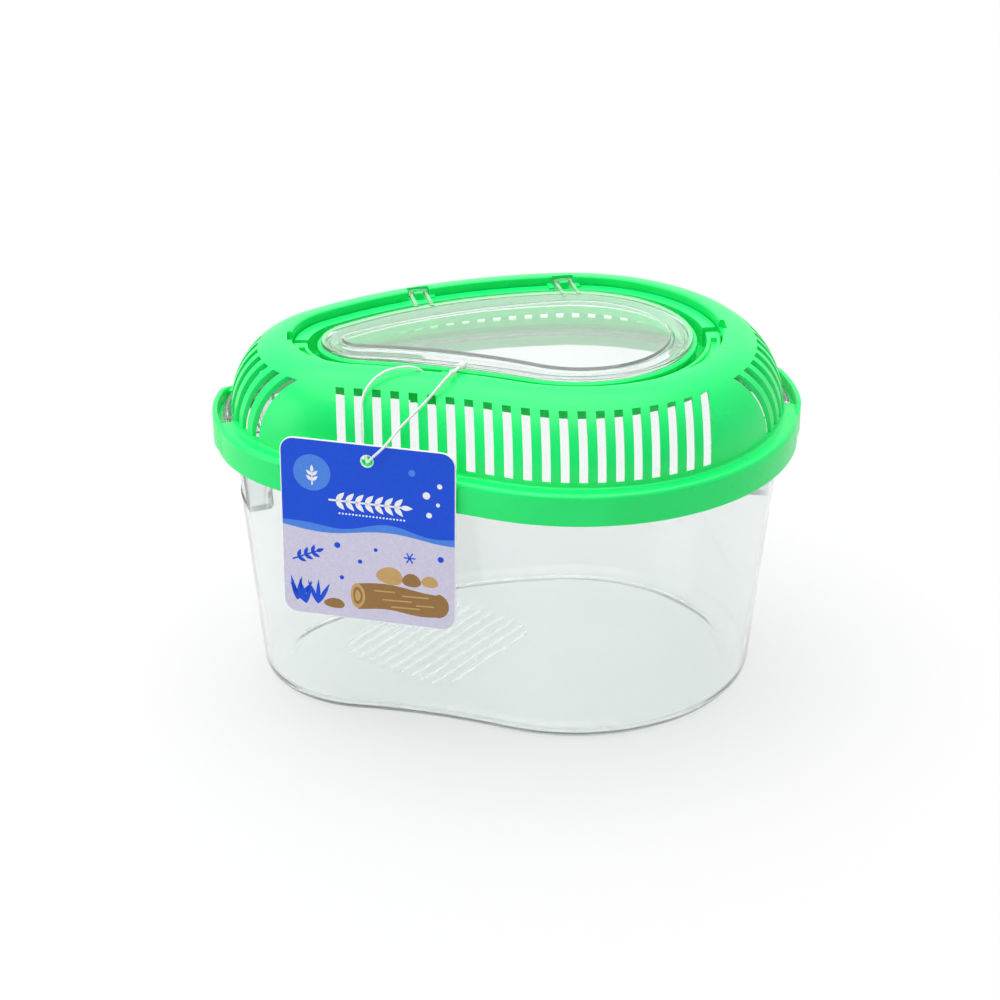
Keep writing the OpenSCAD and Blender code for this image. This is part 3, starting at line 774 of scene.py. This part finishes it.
WINDOW = ((24.7, -3.4), 33.3, (-51.0, -2.2), 8.0, 188.0, 161.0)     # lobes, back and front arcs
HATCH_IN, HATCH_T, WINDOW_RISE = 38.2, 1.5, 1.4     # edge from the outline, sheet, window step
SEAT_GAP, LIP_GAP, LIP_T, LIP_H = 0.2, 0.4, 1.4, 4.5    # gaps under sheet and round lip, lip
BAR_D, LUG_W, ARM_W, ARM_T, ARM_LEN = 2.4, 7.2, 1.5, 1.4, 15.0      # hinge bars and their arms


def arc_loops(st, d, z, r, a0, a1, n=5):
    """Loops of a rounded corner: centre at offset d and height z, turned from angle a0 to a1."""
    t = np.radians(np.linspace(a0, a1, n))
    return [level(st, d + r * math.cos(k), z + r * math.sin(k)) for k in t]


def step_loops(st, z, n=11):
    """Loops of the soft step up to the window: offset 0.9 - 2.2t, height z + rise (3t^2 - 2t^3)."""
    return [level(st, 0.9 - 2.2 * t, z + WINDOW_RISE * (3 * t ** 2 - 2 * t ** 3))
            for t in np.linspace(0, 1, n)]


def build_hatch():
    """Hatch: a clear plate with a raised window, a lip that drops inside the neck, and two hinge
    arms. The skin runs from the underside of the window, round lip and rim, to the window's top;
    the same step above and below keeps the sheet even."""
    rim, win = stations(), samples(four_arcs(*WINDOW), COUNTS)
    z = mm("height") - NECK_DROP + SEAT_GAP
    top, low = z + HATCH_T, z - LIP_H
    outer = -NECK_IN - mm("lid_wall") - LIP_GAP
    inner = outer - LIP_T
    plate = bowl("hatch_plate", [
        *reversed(step_loops(win, z)), level(rim, inner, z), level(rim, inner, low + 0.3),
        *arc_loops(rim, inner + 0.3, low + 0.3, 0.3, 180, 270, 3),
        *arc_loops(rim, outer - 0.3, low + 0.3, 0.3, 270, 360, 3), level(rim, outer, z),
        *arc_loops(rim, -HATCH_IN - 0.35, z + 0.35, 0.35, 270, 360, 4),
        *arc_loops(rim, -HATCH_IN - 0.5, top - 0.5, 0.5, 0, 90, 5), *step_loops(win, top)])
    arms, bars = [], []
    for m in hinge_places():
        for s in (-1, 1):
            x = s * (LUG_W - ARM_W) / 2
            arms.append(((x - ARM_W / 2, -ARM_LEN, -ARM_T / 2), (x + ARM_W / 2, 0, ARM_T / 2), m))
        ends = [m @ Vector((s * LUG_W / 2, 0, 0)) for s in (-1, 1)]
        bars.append(rod("bar", *ends, BAR_D / 2, bevel=0.3))
    boolean(plate, [soften(boxes("arms", arms), 0.25), join("bars", bars)], "UNION")
    mat = clear_plastic("clear_polystyrene_hatch", 0.02, 0.25, 0.95)
    return dress(plate, mat, "hatch", ("hatch",), 35)


# Tank

RIM_DROP, RIM_H, RIM_OUT = 2.2, 2.6, 2.4    # rim top below the ledge, its height and reach
WALL_TOP, NECK_Z, DRAFT = 6.0, 90.0, 0.09   # wall from the outline at the neck, lean per mm
FOOT_R, FOOT_H = 5.5, 0.8                   # rounding of the foot, hollow under the floor
POCKET_Z, POCKET_IN, HOOK = 72.0, 8.0, 0.62     # pocket floor and depth, hook's share of it
RIBS, RIB_PITCH, RIB_H, RIB_LEN = 12, 4.9, 0.7, 60.0
PATCH, PATCH_TURN, PATCH_R = (-25.8, 9.5), 50.0, 14.0   # ribbed patch: middle, turn, corners


def wall_at(z):
    """Offset of the tank's outer face at a height: it leans outward by the draft."""
    return -WALL_TOP - (NECK_Z - z) * DRAFT


def tank_loops():
    """Loops of the tank skin: up the inside from the middle of the floor, over the rim, down the
    outside and in under the foot, whose hollow rises as 3t^2 - 2t^3."""
    st, w = stations(), mm("tank_wall")
    top, inner_r = mm("ledge_z") - RIM_DROP, FOOT_R - w
    foot = wall_at(FOOT_R) - FOOT_R
    a, b = wall_at(NECK_Z) - w, wall_at(NECK_Z)
    hollow = [level(st, foot - 1 - 6 * t, FOOT_H * (3 * t ** 2 - 2 * t ** 3))
              for t in np.linspace(0, 1, 9)]
    return [level(st, foot - 3, FOOT_H + w),
            *arc_loops(st, foot, FOOT_H + w + inner_r, inner_r, 270, 355, 8),
            level(st, a, NECK_Z), level(st, a, top - 0.5),
            *arc_loops(st, a + 0.5, top - 0.5, 0.5, 180, 90, 4),
            *arc_loops(st, -RIM_OUT - 0.6, top - 0.6, 0.6, 90, 0, 4),
            *arc_loops(st, -RIM_OUT - 0.4, top - RIM_H + 0.4, 0.4, 0, -90, 4),
            level(st, b + 0.4, top - RIM_H - 1), level(st, b, NECK_Z), level(st, wall_at(48), 48),
            *arc_loops(st, foot, FOOT_R, FOOT_R, 355, 270, 12), *hollow]


def pocket_tools():
    """Helper solids of the two end pockets: the cut, then floor and back wall, sides, tongue and
    hook."""
    w, ledge, z = mm("tank_wall"), mm("ledge_z"), POCKET_Z
    top, inner, tip = ledge - RIM_DROP, -WALL_TOP - POCKET_IN, RIM_OUT + 0.5
    wz, wn = wall_at(z), wall_at(NECK_Z)
    cut = [(inner - 1, z), (4, z), (4, top + 3), (inner - 1, top + 3)]
    back = rounded([(inner - w - 1.6, z - w, 1.5), (wz - 0.7, z - w, 0.3), (wz - 0.7, z, 0.3),
                    (inner - 1.6, z, 0.6), (inner, top, 0.4), (inner - w, top, 0.4)])
    side = [(inner - 1.4, z - 1), (wz - 0.7, z - 1), (wn - 0.7, top - 0.3), (inner - 1, top - 0.3)]
    tongue = rounded([(wz - 2.5, z - 0.5, 0), (wz - 0.5, z - 0.5, 0), (wn - 0.5, NECK_Z, 0),
                      (-tip - 1.2, top - 4, 0.3), (-tip - 3, top - 3.6, 0.3),
                      (wn - 2.5, NECK_Z, 0)])
    hook = rounded([(-tip - 2.9, top - 4.4, 0), (-tip - 1.1, top - 4.4, 0), (-tip, top - 1.5, 0),
                    (-tip, ledge - 0.1, 0.3), (-tip - 1, ledge + 0.6, 0.3),
                    (-tip - 1.9, ledge + 0.6, 0.3), (-tip - 1.9, top - 2, 0)])
    groups = [[] for _ in range(5)]
    for c, r, (mid, half) in both_ends(BIG_POCKET, SMALL_POCKET):
        a, b, s = mid - half, mid + half, math.degrees(w / r)
        for group, first, last, section, steps in (
                (0, a, b, cut, 24), (1, a - s, b + s, back, 26), (2, a - s, a, side, 3),
                (2, b, b + s, side, 3), (3, a + 1.4, b - 1.4, tongue, 24),
                (4, mid - half * HOOK, mid + half * HOOK, hook, 20)):
            groups[group].append(sector("part", c, r, first, last, section, steps))
    return [join("tool", group) for group in groups]


def floor_ribs(step=0.6):
    """The ribbed patch of the floor as one slab. With u along and v across the ribs its top is
    h m(u, v) (1 + cos(2 pi v / pitch)) / 2 above the floor, m falling to 0 over 3 mm towards the
    edge of the patch, whose corners are round."""
    m, floor = np.array(place(*PATCH, 0, PATCH_TURN)), FOOT_H + mm("tank_wall")
    hu, hv = RIB_LEN / 2, RIBS * RIB_PITCH / 2
    nu, nv = int(2 * hu / step), int(2 * hv / step)
    u, v = np.meshgrid(np.linspace(-hu, hu, nu), np.linspace(-hv, hv, nv), indexing="ij")
    far = np.hypot(np.maximum(np.abs(u) - hu + PATCH_R, 0),
                   np.maximum(np.abs(v) - hv + PATCH_R, 0))
    t = np.clip((PATCH_R - far) / 3, 0, 1)
    top = floor + 0.02 + RIB_H * t * t * (3 - 2 * t) * (1 + np.cos(2 * math.pi * v / RIB_PITCH)) / 2
    p = np.stack([u.ravel(), v.ravel(), top.ravel()], 1)
    edge = np.concatenate([np.arange(nv), np.arange(2, nu) * nv - 1,
                           np.arange(nu * nv - 1, (nu - 1) * nv - 1, -1),
                           np.arange(nu - 2, 0, -1) * nv])
    base = p[edge] * (1, 1, 0) + (0, 0, floor - 0.6)
    low = np.arange(len(edge)) + len(p)
    walls = np.stack([edge, np.roll(edge, -1), np.roll(low, -1), low], 1)
    faces = grid_faces(nu, nv, False, False).tolist() + walls.tolist() + [low.tolist()]
    return make("ribs", np.concatenate([p, base]) @ m[:3, :3].T + m[:3, 3], faces)


def build_tank():
    """Tank: one skin of even wall thickness, with an end pocket and a snap tongue at each end."""
    tank = bowl("tank_moulding", tank_loops())
    cut, *walls = pocket_tools()
    boolean(tank, [cut], "DIFFERENCE")
    boolean(tank, [*walls, floor_ribs()], "UNION")
    mat = clear_plastic("clear_polystyrene_tank", 0.03, 0.2, 0.91)
    return dress(tank, mat, "tank", ("tank",), 30)


# Hang tag

CARD_T, CORNER_R, HOLE_DROP, HOLE_D = 0.6, 5.0, 6.0, 4.2
CARD_PLACE = (place(-51.6, -58.6, 80.7, -18.6) @ Matrix.Rotation(math.radians(-1.9), 4, "X")
              @ Matrix.Rotation(math.pi / 2, 4, "X"))
CARD_BEVEL = 0.12
INK = 0.012                     # step between printed layers
EDGE = 0.35                     # unprinted edge
BUBBLES = (("light", -19.5, 20.5, 6.6), ("white", 21.5, 9.5, 1.0), ("white", 24.6, 13.6, 0.7),
           ("white", 20.6, 16.6, 1.3), ("white", 25.2, 20.4, 0.9), ("light", 15.6, 24.2, 1.2))
GRAIN = ((2, -21, 7), (12, -21.8, 9), (5, -24, 10), (17, -24.8, 6), (8, -26.4, 10))
PEBBLES = (("wood", 2, 7.5, -14.8, 4.6, 3.3, 0.05), ("bark", 3, 15.2, -15.6, 3.4, 2.4, 0.06),
           ("wood", 2, 21.6, -15.4, 3.0, 2.0, 0.05), ("bark", 2, -12.4, -27.6, 3.6, 1.9, 0.05))
WEEDS = ((-26, -28, 78), (-22.6, -29, 104), (-18.4, -28.6, 88))
SPOTS = ((-11, -5.4, 1.1), (-3, -10.6, 0.8), (2.6, -5.6, 0.7), (25.5, -6.4, 1.1),
         (-9.6, -17.4, 0.8))


def card_line(inset, n=10):
    """Closed rounded rectangle of the card, moved in by inset."""
    r, hw, hh = CORNER_R - inset, mm("card_w") / 2 - CORNER_R, mm("card_h") / 2 - CORNER_R
    t = np.radians(np.linspace(0, 90, n))
    return np.concatenate([
        np.c_[sx * hw + r * np.cos(t + k * math.pi / 2), sy * hh + r * np.sin(t + k * math.pi / 2)]
        for k, (sx, sy) in enumerate(((1, 1), (-1, 1), (-1, -1), (1, -1)))])


def card_loop(line, z):
    """A line on the card, right and up from its middle, at z out of it, in the keeper's frame."""
    m = np.array(CARD_PLACE)
    return np.c_[line, np.full(len(line), z)] @ m[:3, :3].T + m[:3, 3]


def patch(line, layer, mat):
    """A flat printed shape: its outline raised by a few hundredths of a millimetre."""
    ob = bowl("print", [card_loop(line, CARD_T / 2 + z) for z in (-0.01, INK * layer)])
    ob.data.materials.append(mat)
    return ob


def turned(p, x, y, turn):
    """Points turned by degrees and moved to x and y."""
    c, s = math.cos(math.radians(turn)), math.sin(math.radians(turn))
    return p @ np.array(((c, s), (-s, c))) + (x, y)


def disc(x, y, r, n=48):
    """Circle outline."""
    t = np.linspace(0, 2 * math.pi, n, endpoint=False)
    return np.c_[x + r * np.cos(t), y + r * np.sin(t)]


def leaf(x, y, turn, size, width):
    """Leaf outline: two arcs of width / 2 sin(pi t^0.8) between base and tip, turned by degrees."""
    t = np.linspace(0, 1, 13)
    up = np.c_[t * size, width / 2 * np.sin(math.pi * t ** 0.8)]
    return turned(np.concatenate([up, up[-2:0:-1] * (1, -1)]), x, y, turn)


def stroke(x, y, turn, size, width):
    """Straight stroke with round ends."""
    t = np.radians(np.linspace(-90, 90, 7))
    cap = np.c_[np.cos(t), np.sin(t)] * width / 2
    return turned(np.concatenate([cap + (size, 0), -cap]), x, y, turn)


def pebble(x, y, a, b, lump):
    """Pebble outline: an ellipse whose radius swells by lump, two and three times a turn."""
    t = np.linspace(0, 2 * math.pi, 56, endpoint=False)
    r = 1 + lump * (np.cos(2 * t + x) * 0.5 + np.sin(3 * t + y))
    return np.c_[x + a * r * np.cos(t), y + b * r * np.sin(t)]


def sprig(x, y, turn, size, width, pairs, leaf_size):
    """A stem with pairs of leaves leaning forward along it and one leaf at its tip."""
    c, s = math.cos(math.radians(turn)), math.sin(math.radians(turn))
    out = [stroke(x, y, turn, size, width)]
    for i in range(pairs):
        u = size * (i + 0.7) / (pairs + 0.3)
        out += [leaf(x + c * u, y + s * u, turn + k, leaf_size, leaf_size * 0.42)
                for k in (48, -48)]
    return out + [leaf(x + c * size, y + s * size, turn, leaf_size, leaf_size * 0.42)]


def log_outline():
    """Outline of the lying log: two waved long sides and a round far end."""
    x, cap = np.linspace(-4, 24, 24), np.radians(np.linspace(80, -80, 13))
    return np.concatenate([np.c_[x, -19 + 1.0 * np.sin((x + 4) / 6)],
                           np.c_[24 + 4.4 * np.cos(cap), -24 + 4.6 * np.sin(cap)],
                           np.c_[x, -28.2 + 0.6 * np.sin(x / 4)][::-1]])


def card_art():
    """Generic print of the card as (ink, layer, outline) rows: water above, ground below. Their
    border is 1.2 sin(4.2 u / half width + 0.6)."""
    hw, edge = mm("card_w") / 2, card_line(EDGE)
    u = np.linspace(hw - EDGE, -hw + EDGE, 41)
    wave = np.c_[u, 1.2 * np.sin(u / hw * 4.2 + 0.6)]
    band = np.c_[u, wave[:, 1] + 2.2 + 0.7 * np.sin(u / hw * 7)]
    rows = [("pale", 1, np.concatenate([wave, edge[edge[:, 1] < 0]])),
            ("blue", 1, np.concatenate([edge[edge[:, 1] > 0], wave[::-1]])),
            ("light", 2, np.concatenate([band, wave[::-1]]))]
    rows += [(ink, 2, disc(x, y, r)) for ink, x, y, r in BUBBLES]
    rows += [("white", 3, p) for p in sprig(-19.5, 16.2, 90, 4.4, 0.5, 2, 2.8)]
    rows += [("white", 2, p) for p in sprig(-13.5, 11.2, 0, 25, 0.7, 7, 4.4)]
    rows += [("white", 2, stroke(-10 + 1.2 * i, 6.6, 0, 0.01, 0.7)) for i in range(20)]
    rows += [("bark", 2, log_outline()), ("wood", 3, pebble(-4, -23.6, 2.6, 4.6, 0.03)),
             ("bark", 4, pebble(-4, -23.6, 1.7, 3.2, 0.04)),
             ("wood", 5, pebble(-4, -23.6, 1.0, 2.0, 0.05))]
    rows += [("wood", 3, stroke(x, y, 2, size, 0.5)) for x, y, size in GRAIN]
    rows += [(ink, layer, pebble(*shape)) for ink, layer, *shape in PEBBLES]
    rows += [("blue", 2 + i, leaf(x, y, turn + lean, 9.5, 1.6))
             for x, y, turn in WEEDS for i, lean in enumerate((-26, 0, 24))]
    rows += [("blue", 2, p) for p in sprig(-27, -12.4, 24, 9, 0.6, 3, 3.4)]
    rows += [("blue", 2, disc(x, y, r)) for x, y, r in SPOTS]
    rows += [("blue", 2 + i, stroke(14.6, -7.2, 60 * i, 1.9, 0.5)) for i in range(6)]
    return rows


def build_tag():
    """Hang tag: coated card with a softened edge, a punched hole and flat printed shapes."""
    k = bpy.context.scene.keeper
    inks = {"blue": printed("blue_ink_on_card", k.card_blue),
            "light": printed("light_blue_ink_on_card", "#4B87E8"),
            "pale": printed("lilac_ink_on_card", k.card_pale),
            "white": printed("bare_white_card", "#F4F5F8"),
            "bark": printed("brown_ink_on_card", "#9A7443"),
            "wood": printed("tan_ink_on_card", "#C9A468")}
    h, b = CARD_T / 2, CARD_BEVEL
    plate = bowl("plate", [card_loop(card_line(inset), z)
                           for inset, z in ((b, -h), (0, b - h), (0, h - b), (b, h))])
    plate.data.materials.append(inks["white"])
    y = mm("card_h") / 2 - HOLE_DROP
    ends = [CARD_PLACE @ Vector((0, y, z)) for z in (-2, 2)]
    boolean(plate, [rod("hole", *ends, HOLE_D / 2, 40)], "DIFFERENCE")
    parts = [plate]
    for ink, layer, line in card_art():
        p = patch(line, layer, inks[ink])
        if (ink, layer) == ("blue", 1):     # the field that the hole goes through
            boolean(p, [rod("hole", *ends, HOLE_D / 2 + 0.25, 40)], "DIFFERENCE")
        parts.append(p)
    return dress(join("tag_card", parts), None, "tag", ("hang_tag",), 30)


# Loop

LOOP_WAY = ((-22.5, -43.1, 131.9), (-24.6, -45.7, 130.9), (-28.2, -48.4, 127.7),
            (-32, -50.4, 124.3), (-37, -52.8, 120.2), (-41.5, -56.3, 116.9),
            (-45.5, -60.8, 113.9), (-49.3, -61, 110.4), (-51.2, -59, 107.6),
            (-51.6, -56.2, 107.6), (-52.4, -53.8, 111), (-53, -49.6, 118),
            (-52.2, -44.6, 124.4), (-49.2, -41, 128.6), (-44.5, -37.6, 131),
            (-39, -35.7, 131.7), (-34.6, -35.3, 131.4), (-31.3, -34.8, 129.2),
            (-29.6, -35.1, 125.4), (-28.3, -34, 122.3), (-26.3, -32, 120.4),
            (-23.4, -29.6, 121.2), (-21, -28.2, 124.4), (-18.4, -28.7, 128.6),
            (-16.8, -31, 131.2), (-16.6, -33.6, 132), (-17.44, -35.07, 131.9))
LOCK_AT, LOCK_TURN = (-18.4, -36.6, 131.9), 58.0
SOCKET_D, SOCKET_LEN, LOCK_PIN_D, KNOB_D, KNOB_AT = 2.6, 3.0, 1.2, 2.2, 6.5


def loop_line(steps=6):
    """The loop's way from the lock's knob round to its socket. Between the points b and c it is
    p = 0.5 (2b + (c-a)t + (2a-5b+4c-d)t^2 + (3b-a-3c+d)t^3), with a before b and d after c."""
    w = np.array(LOOP_WAY)
    j = np.arange(len(w) - 1)
    a, b, c, d = (w[np.clip(j + k, 0, len(w) - 1)][:, None] for k in (-1, 0, 1, 2))
    t = np.linspace(0, 1, steps, endpoint=False)[None, :, None]
    p = 0.5 * (2 * b + (c - a) * t + (2 * a - 5 * b + 4 * c - d) * t ** 2
               + (3 * b - a - 3 * c + d) * t ** 3)
    return np.concatenate([p.reshape(-1, 3), w[-1:]])


def build_loop():
    """Nylon loop: a thin tube from the pin's knob round to the socket, and the lock in which
    socket, pin and knob are one piece."""
    line = loop_line()
    loop = tube("tag_loop_line", line, mm("loop_d") / 2)
    mat = nylon()
    dress(loop, mat, "tag", ("tag_loop",), 60)
    axis = Matrix.Rotation(math.radians(LOCK_TURN), 3, "Z") @ Vector((1, 0, 0))
    at, half = Vector(LOCK_AT), axis * SOCKET_LEN / 2
    socket = rod("socket", at - half, at + half, SOCKET_D / 2, 32, 0.35)
    pin = rod("pin", at - axis * KNOB_AT, at, LOCK_PIN_D / 2, 20, 0.15)
    knob = ball("knob", np.array(at - axis * KNOB_AT), np.array(axis), KNOB_D / 2)
    boolean(socket, [pin, knob], "UNION")
    dress(socket, mat, "tag", ("loop_lock",), 50)
    socket.name = "tag_loop_lock"
    mm("loop_d") / 1000
    return loop


# Stage

CAMERA_AT = (-59.25, -777.2, 440.7)     # eye, found from the photograph's sizes
CAMERA_TO = (-2.67, 0.19, 63.31)        # the point it looks at
LENS, SENSOR = 85.43, 36.0
FLOOR_HALF, FLOOR_Z = 6000, -0.05       # the floor lies just under the foot
SUN_WAY, SUN_POWER, SUN_SPREAD = (0.12, 0.0, -1), 1.9, 70   # spread in degrees
SIDE_LIGHTS = (("left_light", (-850, -150, 320), 1.7), ("right_light", (850, -100, 320), 0.3))


def aim(ob, at, to):
    """Puts an object at a place in millimetres, looking at another."""
    ob.location = Vector(at) / 1000
    ob.rotation_euler = (Vector(to) - Vector(at)).to_track_quat("-Z", "Y").to_euler()
    bpy.context.scene.collection.objects.link(ob)
    return ob


def side_light(name, at, power):
    """A square area light at a place, aimed at the tank."""
    data = bpy.data.lights.new(name, "AREA")
    data.size, data.energy = 0.5, power
    return aim(bpy.data.objects.new(name, data), at, (0, 0, 60))


def surroundings():
    """World that is dark in front, bright above, below and behind, and even to the camera: its
    strength is z^2 plus 0.15 at Y = 0 or less, rising to 1.05 at Y = 1, and 0.95 to the camera."""
    world = bpy.data.worlds.new("studio")
    world.use_nodes = True
    sky = world.node_tree
    way = node(sky, "ShaderNodeTexCoord").outputs["Generated"]
    axes = node(sky, "ShaderNodeSeparateXYZ", {"Vector": way}).outputs
    over = node(sky, "ShaderNodeMath", {0: axes["Z"], 1: axes["Z"]}, operation="MULTIPLY")
    behind = node(sky, "ShaderNodeMapRange", {"Value": axes["Y"], "To Min": 0.15, "To Max": 1.05})
    both = node(sky, "ShaderNodeMath", {0: over.outputs[0], 1: behind.outputs[0]}, operation="ADD")
    seen = node(sky, "ShaderNodeLightPath").outputs["Is Camera Ray"]
    tone = node(sky, "ShaderNodeMix", {0: seen, 2: both.outputs[0], 3: 0.95})
    wire(sky, sky.nodes["Background"], {"Strength": tone.outputs[0], "Color": (1, 1, 1, 1)})
    return world


def build_stage():
    """Pale floor, surroundings, a wide soft lamp above, two at the sides, and the camera."""
    scene, f = bpy.context.scene, FLOOR_HALF
    corners = [(-f, -f, FLOOR_Z), (f, -f, FLOOR_Z), (f, f, FLOOR_Z), (-f, f, FLOOR_Z)]
    floor = make("stage_floor", corners, [(0, 1, 2, 3)])
    floor.data.materials.append(sweep_sheet())
    scene.world = surroundings()
    sun = bpy.data.lights.new("sky_panel", "SUN")
    sun.energy, sun.angle = SUN_POWER, math.radians(SUN_SPREAD)
    aim(bpy.data.objects.new("sky_panel", sun), (0, 0, 0), SUN_WAY)
    for row in SIDE_LIGHTS:
        side_light(*row)
    cam = bpy.data.cameras.new("camera")
    cam.lens, cam.sensor_width, cam.clip_start = LENS, SENSOR, 0.01
    scene.camera = aim(bpy.data.objects.new("camera", cam), CAMERA_AT, CAMERA_TO)
    scene.view_settings.view_transform = "Standard"


# Add-on

class KEEPER_OT_stage(bpy.types.Operator):
    """Sets up the floor, the lights and the camera"""

    bl_idname = "keeper.stage"
    bl_label = "Stage"

    def execute(self, context):
        build_stage()
        return {"FINISHED"}


class KEEPER_OT_tag(bpy.types.Operator):
    """Builds the hang tag card"""

    bl_idname = "keeper.tag"
    bl_label = "Hang tag"

    def execute(self, context):
        build_tag()
        return {"FINISHED"}


class KEEPER_OT_loop(bpy.types.Operator):
    """Builds the nylon loop and its lock, after the card"""

    bl_idname = "keeper.loop"
    bl_label = "Tag loop"

    def execute(self, context):
        build_loop()
        return {"FINISHED"}


class KEEPER_OT_tank(bpy.types.Operator):
    """Builds the clear tank"""

    bl_idname = "keeper.tank"
    bl_label = "Tank"

    def execute(self, context):
        build_tank()
        return {"FINISHED"}


class KEEPER_OT_lid(bpy.types.Operator):
    """Builds the slotted lid"""

    bl_idname = "keeper.lid"
    bl_label = "Lid"

    def execute(self, context):
        build_lid()
        return {"FINISHED"}


class KEEPER_OT_handle(bpy.types.Operator):
    """Builds the handle strap"""

    bl_idname = "keeper.handle"
    bl_label = "Handle"

    def execute(self, context):
        build_handle()
        return {"FINISHED"}


class KEEPER_OT_hatch(bpy.types.Operator):
    """Builds the clear hatch"""

    bl_idname = "keeper.hatch"
    bl_label = "Hatch"

    def execute(self, context):
        build_hatch()
        return {"FINISHED"}


OPERATORS = (KEEPER_OT_stage, KEEPER_OT_tag, KEEPER_OT_loop, KEEPER_OT_tank, KEEPER_OT_lid,
             KEEPER_OT_handle, KEEPER_OT_hatch)


class KEEPER_PT_panel(bpy.types.Panel):
    """Lists the sizes and the operators in the sidebar"""

    bl_label = "Pet keeper"
    bl_idname = "KEEPER_PT_panel"
    bl_space_type = "VIEW_3D"
    bl_region_type = "UI"
    bl_category = "Keeper"

    def draw(self, context):
        for name in KEEPER_PG_settings.__annotations__:
            self.layout.prop(context.scene.keeper, name)
        for op in OPERATORS:
            self.layout.operator(op.bl_idname)


CLASSES = (KEEPER_PG_settings, *OPERATORS, KEEPER_PT_panel)


def register():
    """Registers the classes and hangs the settings on the scene."""
    for cls in CLASSES:
        bpy.utils.register_class(cls)
    bpy.types.Scene.keeper = bpy.props.PointerProperty(type=KEEPER_PG_settings)


def unregister():
    """Takes the settings and classes away again."""
    del bpy.types.Scene.keeper
    for cls in reversed(CLASSES):
        bpy.utils.unregister_class(cls)


def main():
    """Builds the stage and every piece in order."""
    register()
    for op in OPERATORS:
        getattr(bpy.ops.keeper, op.bl_idname.split(".")[1])()
    bpy.context.view_layer.update()


if __name__ == "__main__":
    main()
